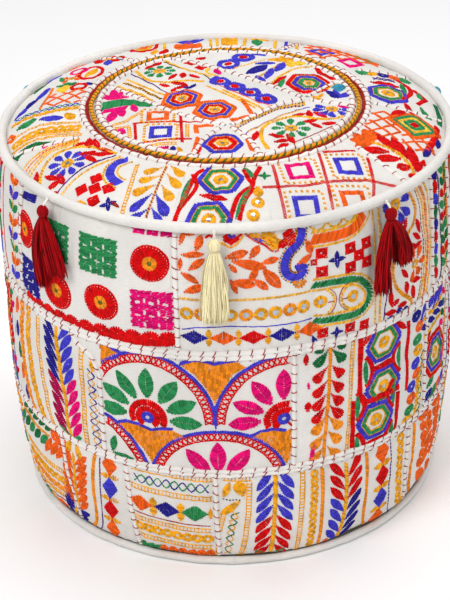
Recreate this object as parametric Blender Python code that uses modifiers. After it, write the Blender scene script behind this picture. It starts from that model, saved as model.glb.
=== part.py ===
"""Round patchwork floor pouf: a stuffed inner bag in a zipped cover of sewn panels, with corded edges,
a braided ring on the crown and seven tassels that hang from the rim.

Metres, +Z up. The origin is the centre of the flat base, and -Y is the front.
Angles round the pouf are in degrees from the front, growing towards +X.
"""

import math

import bmesh
import bpy
from mathutils import Matrix, Vector

# Driving dimensions
SEAM_RADIUS = 0.193  # centre line of the rim piping
SEAM_HEIGHT = 0.332
WALL_RADIUS = 0.2005  # widest girth
WALL_WIDEST_AT = 0.200
WALL_TUCK = 0.008  # how far the wall draws in under the rim
WALL_TURN_IN = 0.013  # how far it draws in towards the base
CROWN_RISE = 0.027
CROWN_POWER = 3.3
PANEL_THICKNESS = 0.0025
SEWN_GAP = 0.0005
TOUCH_GAP = 0.0004

RIM_PIPING_RADIUS = 0.0045
BASE_PIPING_RADIUS = 0.0036
BASE_PIPING_RING = 0.189
BASE_PIPING_HEIGHT = 0.0042
BASE_PANEL_RADIUS = 0.1848
BASE_PANEL_THICKNESS = 0.004

UPPER_SEAM_HEIGHT = 0.218
LOWER_SEAM_HEIGHT = 0.102
SEAM_STRIP_WIDTH = 0.005
SEAM_STRIP_STANDS = 0.0008
SEAM_STRIP_DEPTH = 0.0022

BRAID_RADIUS = 0.115
BRAID_HALF_WIDTH = 0.0056
BRAID_FLATTEN = 0.45

BAG_INSET = 0.0042
BAG_THICKNESS = 0.0015
BAG_FLOOR = 0.0092
BAG_MOUTH_RADIUS = 0.015
FILLING_INSET = 0.0066
FILLING_FLOOR = 0.0116

UPPER_PANEL_STARTS = (-61.7, -13.7, 20.8, 39.5, 62.9, 140, 220)
MIDDLE_PANEL_STARTS = (-69, -34.1, 14.8, 30.6, 56.4, 130, 212)
LOWER_PANEL_STARTS = (-48.4, -27.6, -4.7, 54.3, 125, 190, 255)
RING_PANEL_STARTS = (-62, -14, 11, 47, 90, 155, 218)
DEGREES_PER_STEP = 9
ROUND_STEPS = 48
INNER_STEPS = 32

# Zip in the base, along X
ZIP_Y = 0.060
ZIP_HALF_LENGTH = 0.125
ZIP_SLOT_HALF_WIDTH = 0.006
ZIP_ROW_GAP = 0.0008  # from the zip's middle to either row of teeth
TOOTH_PITCH = 0.010
TOOTH_LENGTH = 0.006
TOOTH_DEPTH = 0.0012
TEETH_BOTTOM, TEETH_TOP = 0.0035, 0.0057
TAPE_BOTTOM, TAPE_TOP = 0.0043, 0.0049
TAPE_WIDTH = 0.0100
SLIDER_X = 0.108
SLIDER_LENGTH, SLIDER_WIDTH = 0.011, 0.009
SLIDER_POST_WIDTH = 0.001
PULL_AXIS_HEIGHT = 0.00125
PULL_LENGTH, PULL_WIDTH, PULL_THICKNESS = 0.020, 0.006, 0.001

# Tassels: angle round the rim and yarn colour
CRIMSON, CREAM, TEAL = (0.42, 0.01, 0.02), (0.83, 0.78, 0.56), (0.08, 0.34, 0.45)
TASSELS = (
    (-46.8, CRIMSON),
    (-3.1, CREAM),
    (39.6, CRIMSON),
    (112, TEAL),
    (155, CREAM),
    (198, CRIMSON),
    (241, TEAL),
)
KNOT_RING, KNOT_HEIGHT = 0.1989, 0.3322
CROWN_RING, CROWN_HEIGHT = 0.2036, 0.3278
THREAD_RADIUS = 0.00055
TOP_KNOT_RADIUS, LOW_KNOT_RADIUS = 0.0010, 0.0009
TASSEL_CUP_RADIUS = 0.0012
TASSEL_HEAD_RADIUS = 0.0042
TASSEL_LENGTH = 0.075
TASSEL_LEAN = 3.6  # degrees that the skirt leans out, over the bulge of the wall

OFF_WHITE = (0.80, 0.77, 0.72)
CANVAS = (0.62, 0.58, 0.50)
BRAID_GOLD = (0.55, 0.36, 0.08)
NYLON = (0.72, 0.68, 0.60)
STEEL = (0.55, 0.55, 0.56)


def clear_scene():
    for obj in list(bpy.data.objects):
        bpy.data.objects.remove(obj, do_unlink=True)


def new_collection(name):
    collection = bpy.data.collections.new(name)
    bpy.context.scene.collection.children.link(collection)
    return collection


def material(name, colour, roughness=0.9, metallic=0.0):
    made = bpy.data.materials.new(name)
    made.use_nodes = True
    shader = made.node_tree.nodes["Principled BSDF"]
    shader.inputs["Base Color"].default_value = (*colour, 1)
    shader.inputs["Roughness"].default_value = roughness
    shader.inputs["Metallic"].default_value = metallic
    return made


def place(obj, collection, colour=None, roughness=0.9, metallic=0.0):
    """Puts the object in this collection only, and gives it its own material."""
    for old in list(obj.users_collection):
        old.objects.unlink(obj)
    collection.objects.link(obj)
    if colour:
        obj.data.materials.clear()
        obj.data.materials.append(material(obj.name, colour, roughness, metallic))
    return obj


def smooth(obj, angle=40):
    obj.data.shade_smooth()
    obj.data.set_sharp_from_angle(angle=math.radians(angle))


def wall_radius(z):
    """The outside of the side wall: widest a little above the middle, drawn in at the rim and the base."""
    above = max(0.0, (z - WALL_WIDEST_AT) / (SEAM_HEIGHT - WALL_WIDEST_AT))
    below = max(0.0, (WALL_WIDEST_AT - z) / WALL_WIDEST_AT)
    return WALL_RADIUS - WALL_TUCK * above**3 - WALL_TURN_IN * below**6


def crown_height(r):
    """The outside of the stuffed top."""
    return SEAM_HEIGHT + CROWN_RISE * (1 - (r / SEAM_RADIUS) ** CROWN_POWER)


def spread(first, last, count):
    return [first + (last - first) * i / count for i in range(count + 1)]


def turned(name, points, degrees=360, steps=ROUND_STEPS, start=0.0, closed=False, merge=False):
    """A profile of (radius, height) points turned about Z, from its start angle."""
    mesh = bpy.data.meshes.new(name)
    edges = [(i, i + 1) for i in range(len(points) - 1)]
    if closed:
        edges.append((len(points) - 1, 0))
    mesh.from_pydata([(r, 0, z) for r, z in points], edges, [])
    obj = bpy.data.objects.new(name, mesh)
    obj.rotation_euler.z = math.radians(start - 90)
    screw = obj.modifiers.new("Turn", "SCREW")
    screw.axis = "Z"
    screw.angle = math.radians(degrees)
    screw.steps = steps
    screw.render_steps = steps
    screw.use_merge_vertices = merge or degrees == 360
    screw.merge_threshold = 0.00001
    return obj


def thicken(obj, thickness):
    """Makes an open surface a closed shell, inwards from its outer face."""
    solidify = obj.modifiers.new("Thickness", "SOLIDIFY")
    solidify.thickness = thickness
    solidify.offset = -1
    solidify.use_even_offset = True
    return obj


def flat_solid(name, outline, bottom, top):
    """A flat outline with straight sides, between two heights, as a mesh."""
    curve = bpy.data.curves.new(name, "CURVE")
    curve.dimensions = "2D"
    curve.fill_mode = "BOTH"
    curve.extrude = (top - bottom) / 2
    spline = curve.splines.new("POLY")
    spline.points.add(len(outline) - 1)
    for point, (x, y) in zip(spline.points, outline):
        point.co = (x, y, 0, 1)
    spline.use_cyclic_u = True
    guide = bpy.data.objects.new(name + "_outline", curve)
    bpy.context.scene.collection.objects.link(guide)
    graph = bpy.context.evaluated_depsgraph_get()
    mesh = bpy.data.meshes.new_from_object(guide.evaluated_get(graph))
    bpy.data.objects.remove(guide, do_unlink=True)
    bpy.data.curves.remove(curve)
    welded = bmesh.new()
    welded.from_mesh(mesh)
    bmesh.ops.remove_doubles(welded, verts=welded.verts, dist=1e-6)
    bmesh.ops.translate(welded, verts=welded.verts, vec=(0, 0, (top + bottom) / 2))
    bmesh.ops.recalc_face_normals(welded, faces=welded.faces)
    welded.to_mesh(mesh)
    welded.free()
    mesh.name = name
    return bpy.data.objects.new(name, mesh)


def box_outline(x0, x1, y0, y1):
    return [(x0, y0), (x1, y0), (x1, y1), (x0, y1)]


def combine(obj, other, operation, cutters):
    """A Boolean with a helper, which stays hidden among the cutters."""
    place(other, cutters)
    other.hide_render = True
    other.display_type = "WIRE"
    boolean = obj.modifiers.new(operation.title() + " " + other.name, "BOOLEAN")
    boolean.operation = operation
    boolean.object = other
    boolean.solver = "EXACT"


def drawn_in(outline, gap):
    """The outline, anticlockwise, with each side moved inwards by the gap."""
    moved = []
    for i, corner in enumerate(outline):
        before, after = outline[i - 1], outline[(i + 1) % len(outline)]
        sides = []
        for a, b in ((before, corner), (corner, after)):
            along = (Vector(b) - Vector(a)).normalized()
            inward = Vector((-along.y, along.x))
            sides.append((Vector(a) + inward * gap, along))
        (p, u), (q, v) = sides
        cross = u.x * v.y - u.y * v.x
        reach = ((q.x - p.x) * v.y - (q.y - p.y) * v.x) / cross
        moved.append(tuple(p + u * reach))
    return moved


def side_row(row, starts, top, bottom, levels, parts):
    """One ring of wall panels, each a curved shell from seam to seam."""
    profile = [(wall_radius(z), z) for z in spread(top, bottom, levels)]
    half_gap = math.degrees(SEWN_GAP / 2 / WALL_RADIUS)
    for i, start in enumerate(starts):
        end = starts[i + 1] if i + 1 < len(starts) else starts[0] + 360
        degrees = end - start - 2 * half_gap
        steps = math.ceil(degrees / DEGREES_PER_STEP)
        name = f"side_{row}_panel_{i + 1}"
        panel = turned(name, profile, degrees, steps, start + half_gap)
        thicken(panel, PANEL_THICKNESS)
        place(panel, parts, OFF_WHITE)
        smooth(panel)


def make_side(parts):
    strip = SEAM_STRIP_WIDTH / 2 + TOUCH_GAP
    rim_bottom = SEAM_HEIGHT - RIM_PIPING_RADIUS - TOUCH_GAP
    base_top = BASE_PIPING_HEIGHT + BASE_PIPING_RADIUS + TOUCH_GAP
    side_row("upper", UPPER_PANEL_STARTS, rim_bottom, UPPER_SEAM_HEIGHT + strip, 4, parts)
    side_row("middle", MIDDLE_PANEL_STARTS, UPPER_SEAM_HEIGHT - strip, LOWER_SEAM_HEIGHT + strip, 2, parts)
    side_row("lower", LOWER_PANEL_STARTS, LOWER_SEAM_HEIGHT - strip, base_top, 4, parts)
    for name, height in (("upper_seam_strip", UPPER_SEAM_HEIGHT), ("lower_seam_strip", LOWER_SEAM_HEIGHT)):
        outer = wall_radius(height) + SEAM_STRIP_STANDS
        inner = wall_radius(height) - SEAM_STRIP_DEPTH
        low, high = height - SEAM_STRIP_WIDTH / 2, height + SEAM_STRIP_WIDTH / 2
        profile = [(outer, high), (outer, low), (inner, low), (inner, high)]
        ring = turned(name, profile, steps=INNER_STEPS, closed=True)
        place(ring, parts, OFF_WHITE)
        smooth(ring)


def make_crown(parts, cutters):
    """The stuffed top: seven panels in the outer ring, and five panels inside the braid."""
    outer_edge = SEAM_RADIUS - RIM_PIPING_RADIUS - TOUCH_GAP
    inner_edge = BRAID_RADIUS + BRAID_HALF_WIDTH + TOUCH_GAP
    profile = [(r, crown_height(r)) for r in spread(inner_edge, outer_edge, 3)]
    half_gap = math.degrees(SEWN_GAP / 2 / inner_edge)
    for i, start in enumerate(RING_PANEL_STARTS):
        end = RING_PANEL_STARTS[i + 1] if i + 1 < len(RING_PANEL_STARTS) else RING_PANEL_STARTS[0] + 360
        degrees = end - start - 2 * half_gap
        steps = math.ceil(degrees / DEGREES_PER_STEP)
        panel = turned(f"top_ring_panel_{i + 1}", profile, degrees, steps, start + half_gap)
        thicken(panel, PANEL_THICKNESS)
        place(panel, parts, OFF_WHITE)
        smooth(panel)

    # The seams of the centre run from corner to corner of these outlines
    far = 0.130
    upper_left, lower_left = (-far, 0.084), (-far, -0.022)
    middle, front = (-0.030, -0.018), (-0.022, -far)
    back = (-0.069, far)
    right, front_right = (0.066, -0.017), (0.028, -0.045)
    outlines = (
        (upper_left, lower_left, middle),
        (lower_left, (-far, -far), front, middle),
        (upper_left, middle, front, (0.028, -far), front_right, right, back, (-far, far)),
        (back, right, (far, -0.017), (far, far)),
        (right, front_right, (0.028, -far), (far, -far), (far, -0.017)),
    )
    disc_edge = BRAID_RADIUS - BRAID_HALF_WIDTH - TOUCH_GAP
    disc_profile = [(r, crown_height(r)) for r in spread(0, disc_edge, 3)]
    for i, outline in enumerate(outlines):
        panel = turned(f"top_centre_panel_{i + 1}", disc_profile, steps=INNER_STEPS)
        thicken(panel, PANEL_THICKNESS)
        place(panel, parts, OFF_WHITE)
        cutter = flat_solid(f"centre_cutter_{i + 1}", drawn_in(outline, SEWN_GAP / 2), 0.30, 0.40)
        combine(panel, cutter, "INTERSECT", cutters)


def make_edges(parts):
    for name, ring, radius, height, steps in (
        ("rim_piping", SEAM_RADIUS, RIM_PIPING_RADIUS, SEAM_HEIGHT, 6),
        ("base_piping", BASE_PIPING_RING, BASE_PIPING_RADIUS, BASE_PIPING_HEIGHT, 6),
        ("braid_ring", BRAID_RADIUS, BRAID_HALF_WIDTH, crown_height(BRAID_RADIUS), 6),
    ):
        bpy.ops.mesh.primitive_torus_add(
            major_radius=ring,
            minor_radius=radius,
            major_segments=ROUND_STEPS,
            minor_segments=steps,
            location=(0, 0, height),
        )
        piping = bpy.context.object
        piping.name = name
        place(piping, parts, BRAID_GOLD if name == "braid_ring" else OFF_WHITE)
        smooth(piping, 60)
    braid = bpy.data.objects["braid_ring"]
    braid.data.transform(Matrix.Diagonal((1, 1, BRAID_FLATTEN, 1)))


def make_inside(parts):
    """The stuffed inner bag, open at the drawn mouth in its floor, and what fills it."""

    def outline(inset, floor, mouth):
        crown = [(r, crown_height(r) - inset) for r in spread(0, SEAM_RADIUS - 2 * inset, 4)]
        wall_top = crown[-1][1] - inset
        wall = [(wall_radius(z) - inset, z) for z in spread(wall_top, floor + 0.012, 4)]
        return crown + wall + [(wall[-1][0] - 0.010, floor), (mouth, floor)]

    bag = turned("inner_bag", outline(BAG_INSET, BAG_FLOOR, BAG_MOUTH_RADIUS), steps=INNER_STEPS)
    thicken(bag, BAG_THICKNESS)
    place(bag, parts, CANVAS)
    smooth(bag)
    filling = turned("filling", outline(FILLING_INSET, FILLING_FLOOR, 0), steps=INNER_STEPS)
    place(filling, parts, (0.85, 0.83, 0.78))
    smooth(filling)


def base_outline(y0, y1):
    """The part of the base's disc between two lines across it."""
    first, last = (math.asin(max(-1, min(1, y / BASE_PANEL_RADIUS))) for y in (y0, y1))
    right = [(math.cos(a) * BASE_PANEL_RADIUS, math.sin(a) * BASE_PANEL_RADIUS) for a in spread(first, last, 14)]
    return right + [(-x, y) for x, y in reversed(right) if x > 1e-9]


def make_base(parts):
    for name, y0, y1 in (
        ("base_front_panel", -BASE_PANEL_RADIUS, ZIP_Y - ZIP_SLOT_HALF_WIDTH),
        ("base_rear_panel", ZIP_Y + ZIP_SLOT_HALF_WIDTH, BASE_PANEL_RADIUS),
    ):
        place(flat_solid(name, base_outline(y0, y1), 0, BASE_PANEL_THICKNESS), parts, CANVAS)


def make_zip(parts, cutters):
    for name, side in (("zip_front_half", -1), ("zip_rear_half", 1)):
        inner = ZIP_ROW_GAP
        tape = flat_solid(
            name,
            box_outline(-ZIP_HALF_LENGTH, ZIP_HALF_LENGTH, inner + TOOTH_DEPTH, inner + TAPE_WIDTH),
            TAPE_BOTTOM,
            TAPE_TOP,
        )
        first = -ZIP_HALF_LENGTH + 0.002
        tooth_outline = box_outline(first, first + TOOTH_LENGTH, inner, inner + TOOTH_DEPTH + 0.001)
        teeth = flat_solid(name + "_teeth", tooth_outline, TEETH_BOTTOM, TEETH_TOP)
        for obj in (tape, teeth):
            obj.data.transform(Matrix.Diagonal((1, side, 1, 1)))
            if side < 0:
                obj.data.flip_normals()
            obj.data.transform(Matrix.Translation((0, ZIP_Y, 0)))
        row = teeth.modifiers.new("Row", "ARRAY")
        row.count = int((2 * ZIP_HALF_LENGTH - 0.002) / TOOTH_PITCH)
        row.use_relative_offset = False
        row.use_constant_offset = True
        row.constant_offset_displace = (TOOTH_PITCH, 0, 0)
        place(tape, parts, NYLON)
        combine(tape, teeth, "UNION", cutters)

    x0, x1 = SLIDER_X - SLIDER_LENGTH / 2, SLIDER_X + SLIDER_LENGTH / 2
    y0, y1 = ZIP_Y - SLIDER_WIDTH / 2, ZIP_Y + SLIDER_WIDTH / 2
    post = SLIDER_POST_WIDTH / 2
    slider = flat_solid("zip_slider", box_outline(x0, x1, y0, y1), 0.0022, 0.0032)
    place(slider, parts, STEEL, 0.35, 0.9)
    helpers = (
        ("zip_slider_top", box_outline(x0, x1, y0, y1), 0.0060, 0.0070),
        ("zip_slider_post", box_outline(x1 - 0.004, x1 - 0.001, ZIP_Y - post, ZIP_Y + post), 0.0025, 0.0065),
        ("zip_slider_lug", box_outline(x0 + 0.001, x0 + 0.0034, ZIP_Y - 0.001, ZIP_Y + 0.001), 0.0003, 0.0025),
    )
    for name, outline, bottom, top in helpers:
        combine(slider, flat_solid(name, outline, bottom, top), "UNION", cutters)
    axis_x = x0 + 0.0022
    hole = bored((axis_x, ZIP_Y, PULL_AXIS_HEIGHT), 0.00065, 0.004, "zip_slider_hole")
    combine(slider, hole, "DIFFERENCE", cutters)

    hinge = bpy.data.objects.new("zip_pull_axis", None)
    hinge.location = (axis_x, ZIP_Y, PULL_AXIS_HEIGHT)
    parts.objects.link(hinge)
    half, bar = PULL_WIDTH / 2, 0.0004
    low, high = -PULL_THICKNESS / 2, PULL_THICKNESS / 2
    pull = flat_solid("zip_pull_tab", box_outline(-PULL_LENGTH, bar, -half, half), low, high)
    place(pull, parts, STEEL, 0.35, 0.9)
    pull.parent = hinge
    window = flat_solid("zip_pull_window", box_outline(-0.0042, -bar, -0.0017, 0.0017), low * 3, high * 3)
    window.parent = hinge
    combine(pull, window, "DIFFERENCE", cutters)
    grip = flat_solid("zip_pull_grip", box_outline(-0.0180, -0.0080, -0.0014, 0.0014), low * 3, high * 3)
    grip.parent = hinge
    combine(pull, grip, "DIFFERENCE", cutters)


def bored(centre, radius, length, name):
    """A cutter along Y."""
    bpy.ops.mesh.primitive_cylinder_add(
        vertices=12, radius=radius, depth=length, location=centre, rotation=(math.pi / 2, 0, 0)
    )
    cutter = bpy.context.object
    cutter.name = name
    return cutter


def arc(centre, radius, first, last, count):
    """(radius, height) points on a circle about a point of the axis, angles from straight up."""
    angles = spread(math.radians(first), math.radians(last), count)
    return [(radius * math.sin(a), centre + radius * math.cos(a)) for a in angles]


def make_tassels(parts):
    slope = math.atan2(CROWN_RING - KNOT_RING, KNOT_HEIGHT - CROWN_HEIGHT)
    thread_length = math.hypot(CROWN_RING - KNOT_RING, KNOT_HEIGHT - CROWN_HEIGHT)
    narrow = math.degrees(math.asin(THREAD_RADIUS / TOP_KNOT_RADIUS))
    narrow_low = math.degrees(math.asin(THREAD_RADIUS / LOW_KNOT_RADIUS))
    thread_profile = arc(0, TOP_KNOT_RADIUS, 0, 180 - narrow, 3)
    thread_profile += arc(-thread_length, LOW_KNOT_RADIUS, narrow_low, 180, 3)
    head = -TASSEL_HEAD_RADIUS + 0.0002
    rim = math.degrees(math.asin(TASSEL_CUP_RADIUS / TASSEL_HEAD_RADIUS))
    tassel_profile = list(reversed(arc(0, TASSEL_CUP_RADIUS, 90, 180, 2)))
    tassel_profile += arc(head, TASSEL_HEAD_RADIUS, rim, 140, 3)[1:]
    tassel_profile += [(0.0040, -0.0130), (0.0054, -0.035), (0.0063, -TASSEL_LENGTH + 0.002)]
    tassel_profile += [(0.0055, -TASSEL_LENGTH), (0, -TASSEL_LENGTH)]
    for i, (angle, colour) in enumerate(TASSELS):
        about = math.radians(angle - 90)
        knot = bpy.data.objects.new(f"tassel_{i + 1}_swing_axis", None)
        knot.location = (KNOT_RING * math.cos(about), KNOT_RING * math.sin(about), KNOT_HEIGHT)
        knot.rotation_euler.z = about
        parts.objects.link(knot)
        thread = turned(f"tassel_{i + 1}_thread", thread_profile, steps=6)
        thread.rotation_euler = (0, -slope, 0)
        thread.parent = knot
        place(thread, parts, OFF_WHITE)
        smooth(thread, 60)
        tassel = turned(f"tassel_{i + 1}", tassel_profile, steps=10)
        tassel.rotation_euler = (0, -math.radians(TASSEL_LEAN), 0)
        tassel.location = (CROWN_RING - KNOT_RING, 0, CROWN_HEIGHT - KNOT_HEIGHT)
        tassel.parent = knot
        place(tassel, parts, colour)
        smooth(tassel, 60)


def main():
    clear_scene()
    parts = new_collection("patchwork_pouf")
    cutters = new_collection("cutters")
    make_inside(parts)
    make_base(parts)
    make_zip(parts, cutters)
    make_side(parts)
    make_crown(parts, cutters)
    make_edges(parts)
    make_tassels(parts)


main()
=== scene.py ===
import math

import bpy
import numpy as np
from mathutils import Matrix, Vector


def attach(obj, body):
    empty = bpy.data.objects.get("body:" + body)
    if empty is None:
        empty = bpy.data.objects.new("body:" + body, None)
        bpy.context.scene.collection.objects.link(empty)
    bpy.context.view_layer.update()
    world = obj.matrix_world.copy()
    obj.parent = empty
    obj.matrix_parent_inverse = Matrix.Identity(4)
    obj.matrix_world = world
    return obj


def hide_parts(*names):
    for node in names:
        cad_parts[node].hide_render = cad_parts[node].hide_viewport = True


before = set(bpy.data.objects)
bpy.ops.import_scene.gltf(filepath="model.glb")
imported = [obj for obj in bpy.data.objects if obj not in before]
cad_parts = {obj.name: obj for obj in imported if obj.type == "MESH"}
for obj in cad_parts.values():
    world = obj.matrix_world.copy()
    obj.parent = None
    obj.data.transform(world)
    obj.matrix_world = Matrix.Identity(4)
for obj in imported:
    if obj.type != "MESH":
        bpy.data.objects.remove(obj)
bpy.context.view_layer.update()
rng = np.random.default_rng(7)

# Lengths in this script are in millimetres until a mesh is written.
RIM = 193.0
RIM_Z = 332.0
GIRTH = 198.0
CROWN_RISE = 27.0
CROWN_POWER = 3.3
BRAID_R = 115.5
CROWN_PUFF = 2.6  # how far cloth and thread rise above the crown's base surface
WALL_TOP = 327.5
WALL_FOOT = 8.5
ROUND = 2 * math.pi * RIM
CRINKLE = 0.34  # height of the small vertical creases
GROOVE = 4.5  # half the width of the dip at a seam
PINNED = 3.2  # how near to a seam the solver holds the cloth
SOLVER_FRAMES = 20
CLOTH_STEP = 2.4  # between the points of a wall patch
STITCH_R = 0.52

CLOTH = (0.90, 0.885, 0.865)
COLOURS = {
    "red": (0.80, 0.03, 0.045),
    "blue": (0.25, 0.23, 0.74),
    "navy": (0.14, 0.12, 0.52),
    "green": (0.17, 0.53, 0.31),
    "leaf": (0.09, 0.40, 0.22),
    "orange": (0.91, 0.37, 0.10),
    "amber": (0.90, 0.54, 0.12),
    "magenta": (0.86, 0.04, 0.44),
    # a darker copy of magenta, used only as painted shade on one side of a feather
    "plum": (0.66, 0.02, 0.29),
    "gold": (0.90, 0.63, 0.12),
    "yellow": (0.93, 0.74, 0.22),
    "purple": (0.33, 0.14, 0.46),
    "brown": (0.60, 0.15, 0.12),
    "teal": (0.20, 0.55, 0.66),
    "white": (0.92, 0.90, 0.86),
    "black": (0.14, 0.09, 0.09),
    "olive": (0.36, 0.38, 0.13),
}
NAMES = list(COLOURS)
GILT = ("gold", "yellow")


# ---------------------------------------------------------------- materials
def linear(colour):
    return [c / 12.92 if c <= 0.04045 else ((c + 0.055) / 1.055) ** 2.4 for c in colour]


class Nodes:
    """Short calls for building a material."""

    def __init__(self, name, roughness=0.8, sheen=0.0, metallic=0.0, specular=0.4):
        self.material = bpy.data.materials.new(name)
        self.material.use_nodes = True
        self.tree = self.material.node_tree
        self.shader = self.tree.nodes["Principled BSDF"]
        self.shader.inputs["Roughness"].default_value = roughness
        self.shader.inputs["Sheen Weight"].default_value = sheen
        self.shader.inputs["Sheen Roughness"].default_value = 0.5
        self.shader.inputs["Metallic"].default_value = metallic
        self.shader.inputs["Specular IOR Level"].default_value = specular

    def add(self, kind, **values):
        node = self.tree.nodes.new("ShaderNode" + kind)
        for key, value in values.items():
            setattr(node, key, value)
        return node

    def link(self, a, b):
        self.tree.links.new(a, b)

    def coords(self, scale=(1, 1, 1), kind="Object"):
        mapping = self.add("Mapping")
        mapping.inputs["Scale"].default_value = scale
        self.link(self.add("TexCoord").outputs[kind], mapping.inputs["Vector"])
        return mapping.outputs["Vector"]

    def noise(self, scale, detail=3.0, vector=None):
        node = self.add("TexNoise")
        node.inputs["Scale"].default_value = scale
        node.inputs["Detail"].default_value = detail
        node.inputs["Roughness"].default_value = 0.55
        self.link(vector or self.coords(), node.inputs["Vector"])
        return node.outputs["Fac"]

    def wave(self, scale, direction, vector, distortion=0.0):
        node = self.add("TexWave", wave_type="BANDS", bands_direction=direction)
        node.inputs["Scale"].default_value = scale
        node.inputs["Distortion"].default_value = distortion
        node.inputs["Detail Scale"].default_value = 2.0
        self.link(vector, node.inputs["Vector"])
        return node.outputs["Fac"]

    def math(self, operation, a, b):
        node = self.add("Math", operation=operation)
        for socket, value in zip(node.inputs, (a, b)):
            if isinstance(value, (int, float)):
                socket.default_value = value
            else:
                self.link(value, socket)
        return node.outputs[0]

    def ramp(self, fac, *stops):
        node = self.add("ValToRGB")
        while len(node.color_ramp.elements) < len(stops):
            node.color_ramp.elements.new(0.5)
        for element, (position, colour) in zip(node.color_ramp.elements, stops):
            element.position = position
            element.color = (*linear(colour), 1)
        self.link(fac, node.inputs["Fac"])
        return node.outputs["Color"]

    def colour(self, output):
        self.link(output, self.shader.inputs["Base Color"])

    def bump(self, height, strength, distance):
        node = self.add("Bump")
        node.inputs["Strength"].default_value = strength
        node.inputs["Distance"].default_value = distance
        self.link(height, node.inputs["Height"])
        self.link(node.outputs["Normal"], self.shader.inputs["Normal"])


def tones(colour, spread):
    dark = tuple(c * (1 - spread) for c in colour)
    light = tuple(min(1.0, c * (1 + spread * 0.6) + 0.02 * spread) for c in colour)
    return dark, light


def thread_material(name, colour, spread=0.2):
    """Cotton floss: each stitch has its own tone, and fine fibres run in it."""
    made = Nodes("thread_" + name, roughness=0.75, specular=0.08)
    vary = made.add("Attribute", attribute_name="tone").outputs["Fac"]
    grain = made.noise(900.0, 2.0)
    fac = made.math("ADD", made.math("MULTIPLY", vary, 0.7), made.math("MULTIPLY", grain, 0.3))
    dark, light = tones(colour, spread)
    made.colour(made.ramp(fac, (0.1, dark), (0.5, colour), (0.95, light)))
    made.bump(made.noise(2600.0, 2.0), 0.5, 0.0004)
    return made.material


def cloth_material(name, colour, period=0.9, grubby=0.06):
    """Plain weave in the UV map's millimetres, with slubs and faint uneven ageing."""
    made = Nodes(name, roughness=0.92, sheen=0.15, specular=0.2)
    uv = made.coords((1, 1, 1), "UV")
    warp = made.wave(0.314 / period, "X", uv, 0.6)
    weft = made.wave(0.314 / period, "Y", uv, 0.6)
    weave = made.math("MAXIMUM", warp, weft)
    slub = made.noise(0.8, 2.0, made.coords((0.25, 1.6, 1), "UV"))
    age = made.noise(14.0, 4.0)
    dark = tuple(c * (1 - grubby * 2.2) for c in colour)
    shade = tuple(c * (1 - grubby) for c in colour)
    fac = made.math("ADD", made.math("MULTIPLY", age, 0.6), made.math("MULTIPLY", slub, 0.4))
    made.colour(made.ramp(fac, (0.25, dark), (0.5, shade), (0.7, colour)))
    creases = made.noise(1.0, 3.0, made.coords((0.14, 0.035, 1), "UV"))
    threads = made.math("MULTIPLY", made.math("ADD", weave, slub), 0.16)
    made.bump(made.math("ADD", threads, creases), 0.55, 0.0016)
    return made.material


def metal_material(name, colour, roughness):
    made = Nodes(name, roughness=roughness, metallic=1.0, specular=0.5)
    wear = made.noise(400.0, 4.0)
    made.colour(made.ramp(wear, (0.3, tuple(c * 0.75 for c in colour)), (0.7, colour)))
    made.bump(made.noise(1500.0, 3.0), 0.15, 0.0002)
    return made.material


THREADS = [thread_material(name, COLOURS[name]) for name in NAMES]
COTTON = cloth_material("white_cotton", CLOTH)
CORDING = cloth_material("cording_cotton", (0.92, 0.905, 0.885), 0.7)
CANVAS = cloth_material("canvas", (0.80, 0.775, 0.72), 1.2, 0.08)
MIRROR = metal_material("mirror", (0.72, 0.75, 0.78), 0.12)
STEEL = metal_material("nickel", (0.72, 0.71, 0.69), 0.28)


# ---------------------------------------------------------------- meshes
def add_mesh(name, points, faces, materials, indices=None, tone=None, uv=None):
    """A mesh object from arrays: points in millimetres."""
    mesh = bpy.data.meshes.new(name)
    points = np.asarray(points, float) / 1000
    faces = np.asarray(faces, np.int32)
    sides = faces.shape[1]
    mesh.vertices.add(len(points))
    mesh.vertices.foreach_set("co", points.astype(np.float32).ravel())
    mesh.loops.add(faces.size)
    mesh.loops.foreach_set("vertex_index", faces.ravel())
    mesh.polygons.add(len(faces))
    mesh.polygons.foreach_set("loop_start", np.arange(0, faces.size, sides, dtype=np.int32))
    for material in materials:
        mesh.materials.append(material)
    if indices is not None:
        mesh.polygons.foreach_set("material_index", np.asarray(indices, np.int32))
    mesh.update(calc_edges=True)
    mesh.validate()
    mesh.shade_smooth()
    if tone is not None:
        layer = mesh.attributes.new("tone", "FLOAT", "POINT")
        layer.data.foreach_set("value", np.asarray(tone, np.float32))
    if uv is not None:
        layer = mesh.uv_layers.new(name="UVMap")
        layer.data.foreach_set("uv", np.asarray(uv, np.float32)[faces.ravel()].ravel())
    obj = bpy.data.objects.new(name, mesh)
    bpy.context.scene.collection.objects.link(obj)
    return obj


def grid_faces(rows, columns, around=False, along=False):
    """Quads of a grid of points, with its columns and rows closed on themselves where asked."""
    i, j = np.meshgrid(np.arange(rows - (not along)), np.arange(columns - (not around)), indexing="ij")
    i, j = i.ravel(), j.ravel()
    i2, j2 = (i + 1) % rows, (j + 1) % columns
    return np.stack([i * columns + j, i * columns + j2, i2 * columns + j2, i2 * columns + j], 1)


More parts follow.
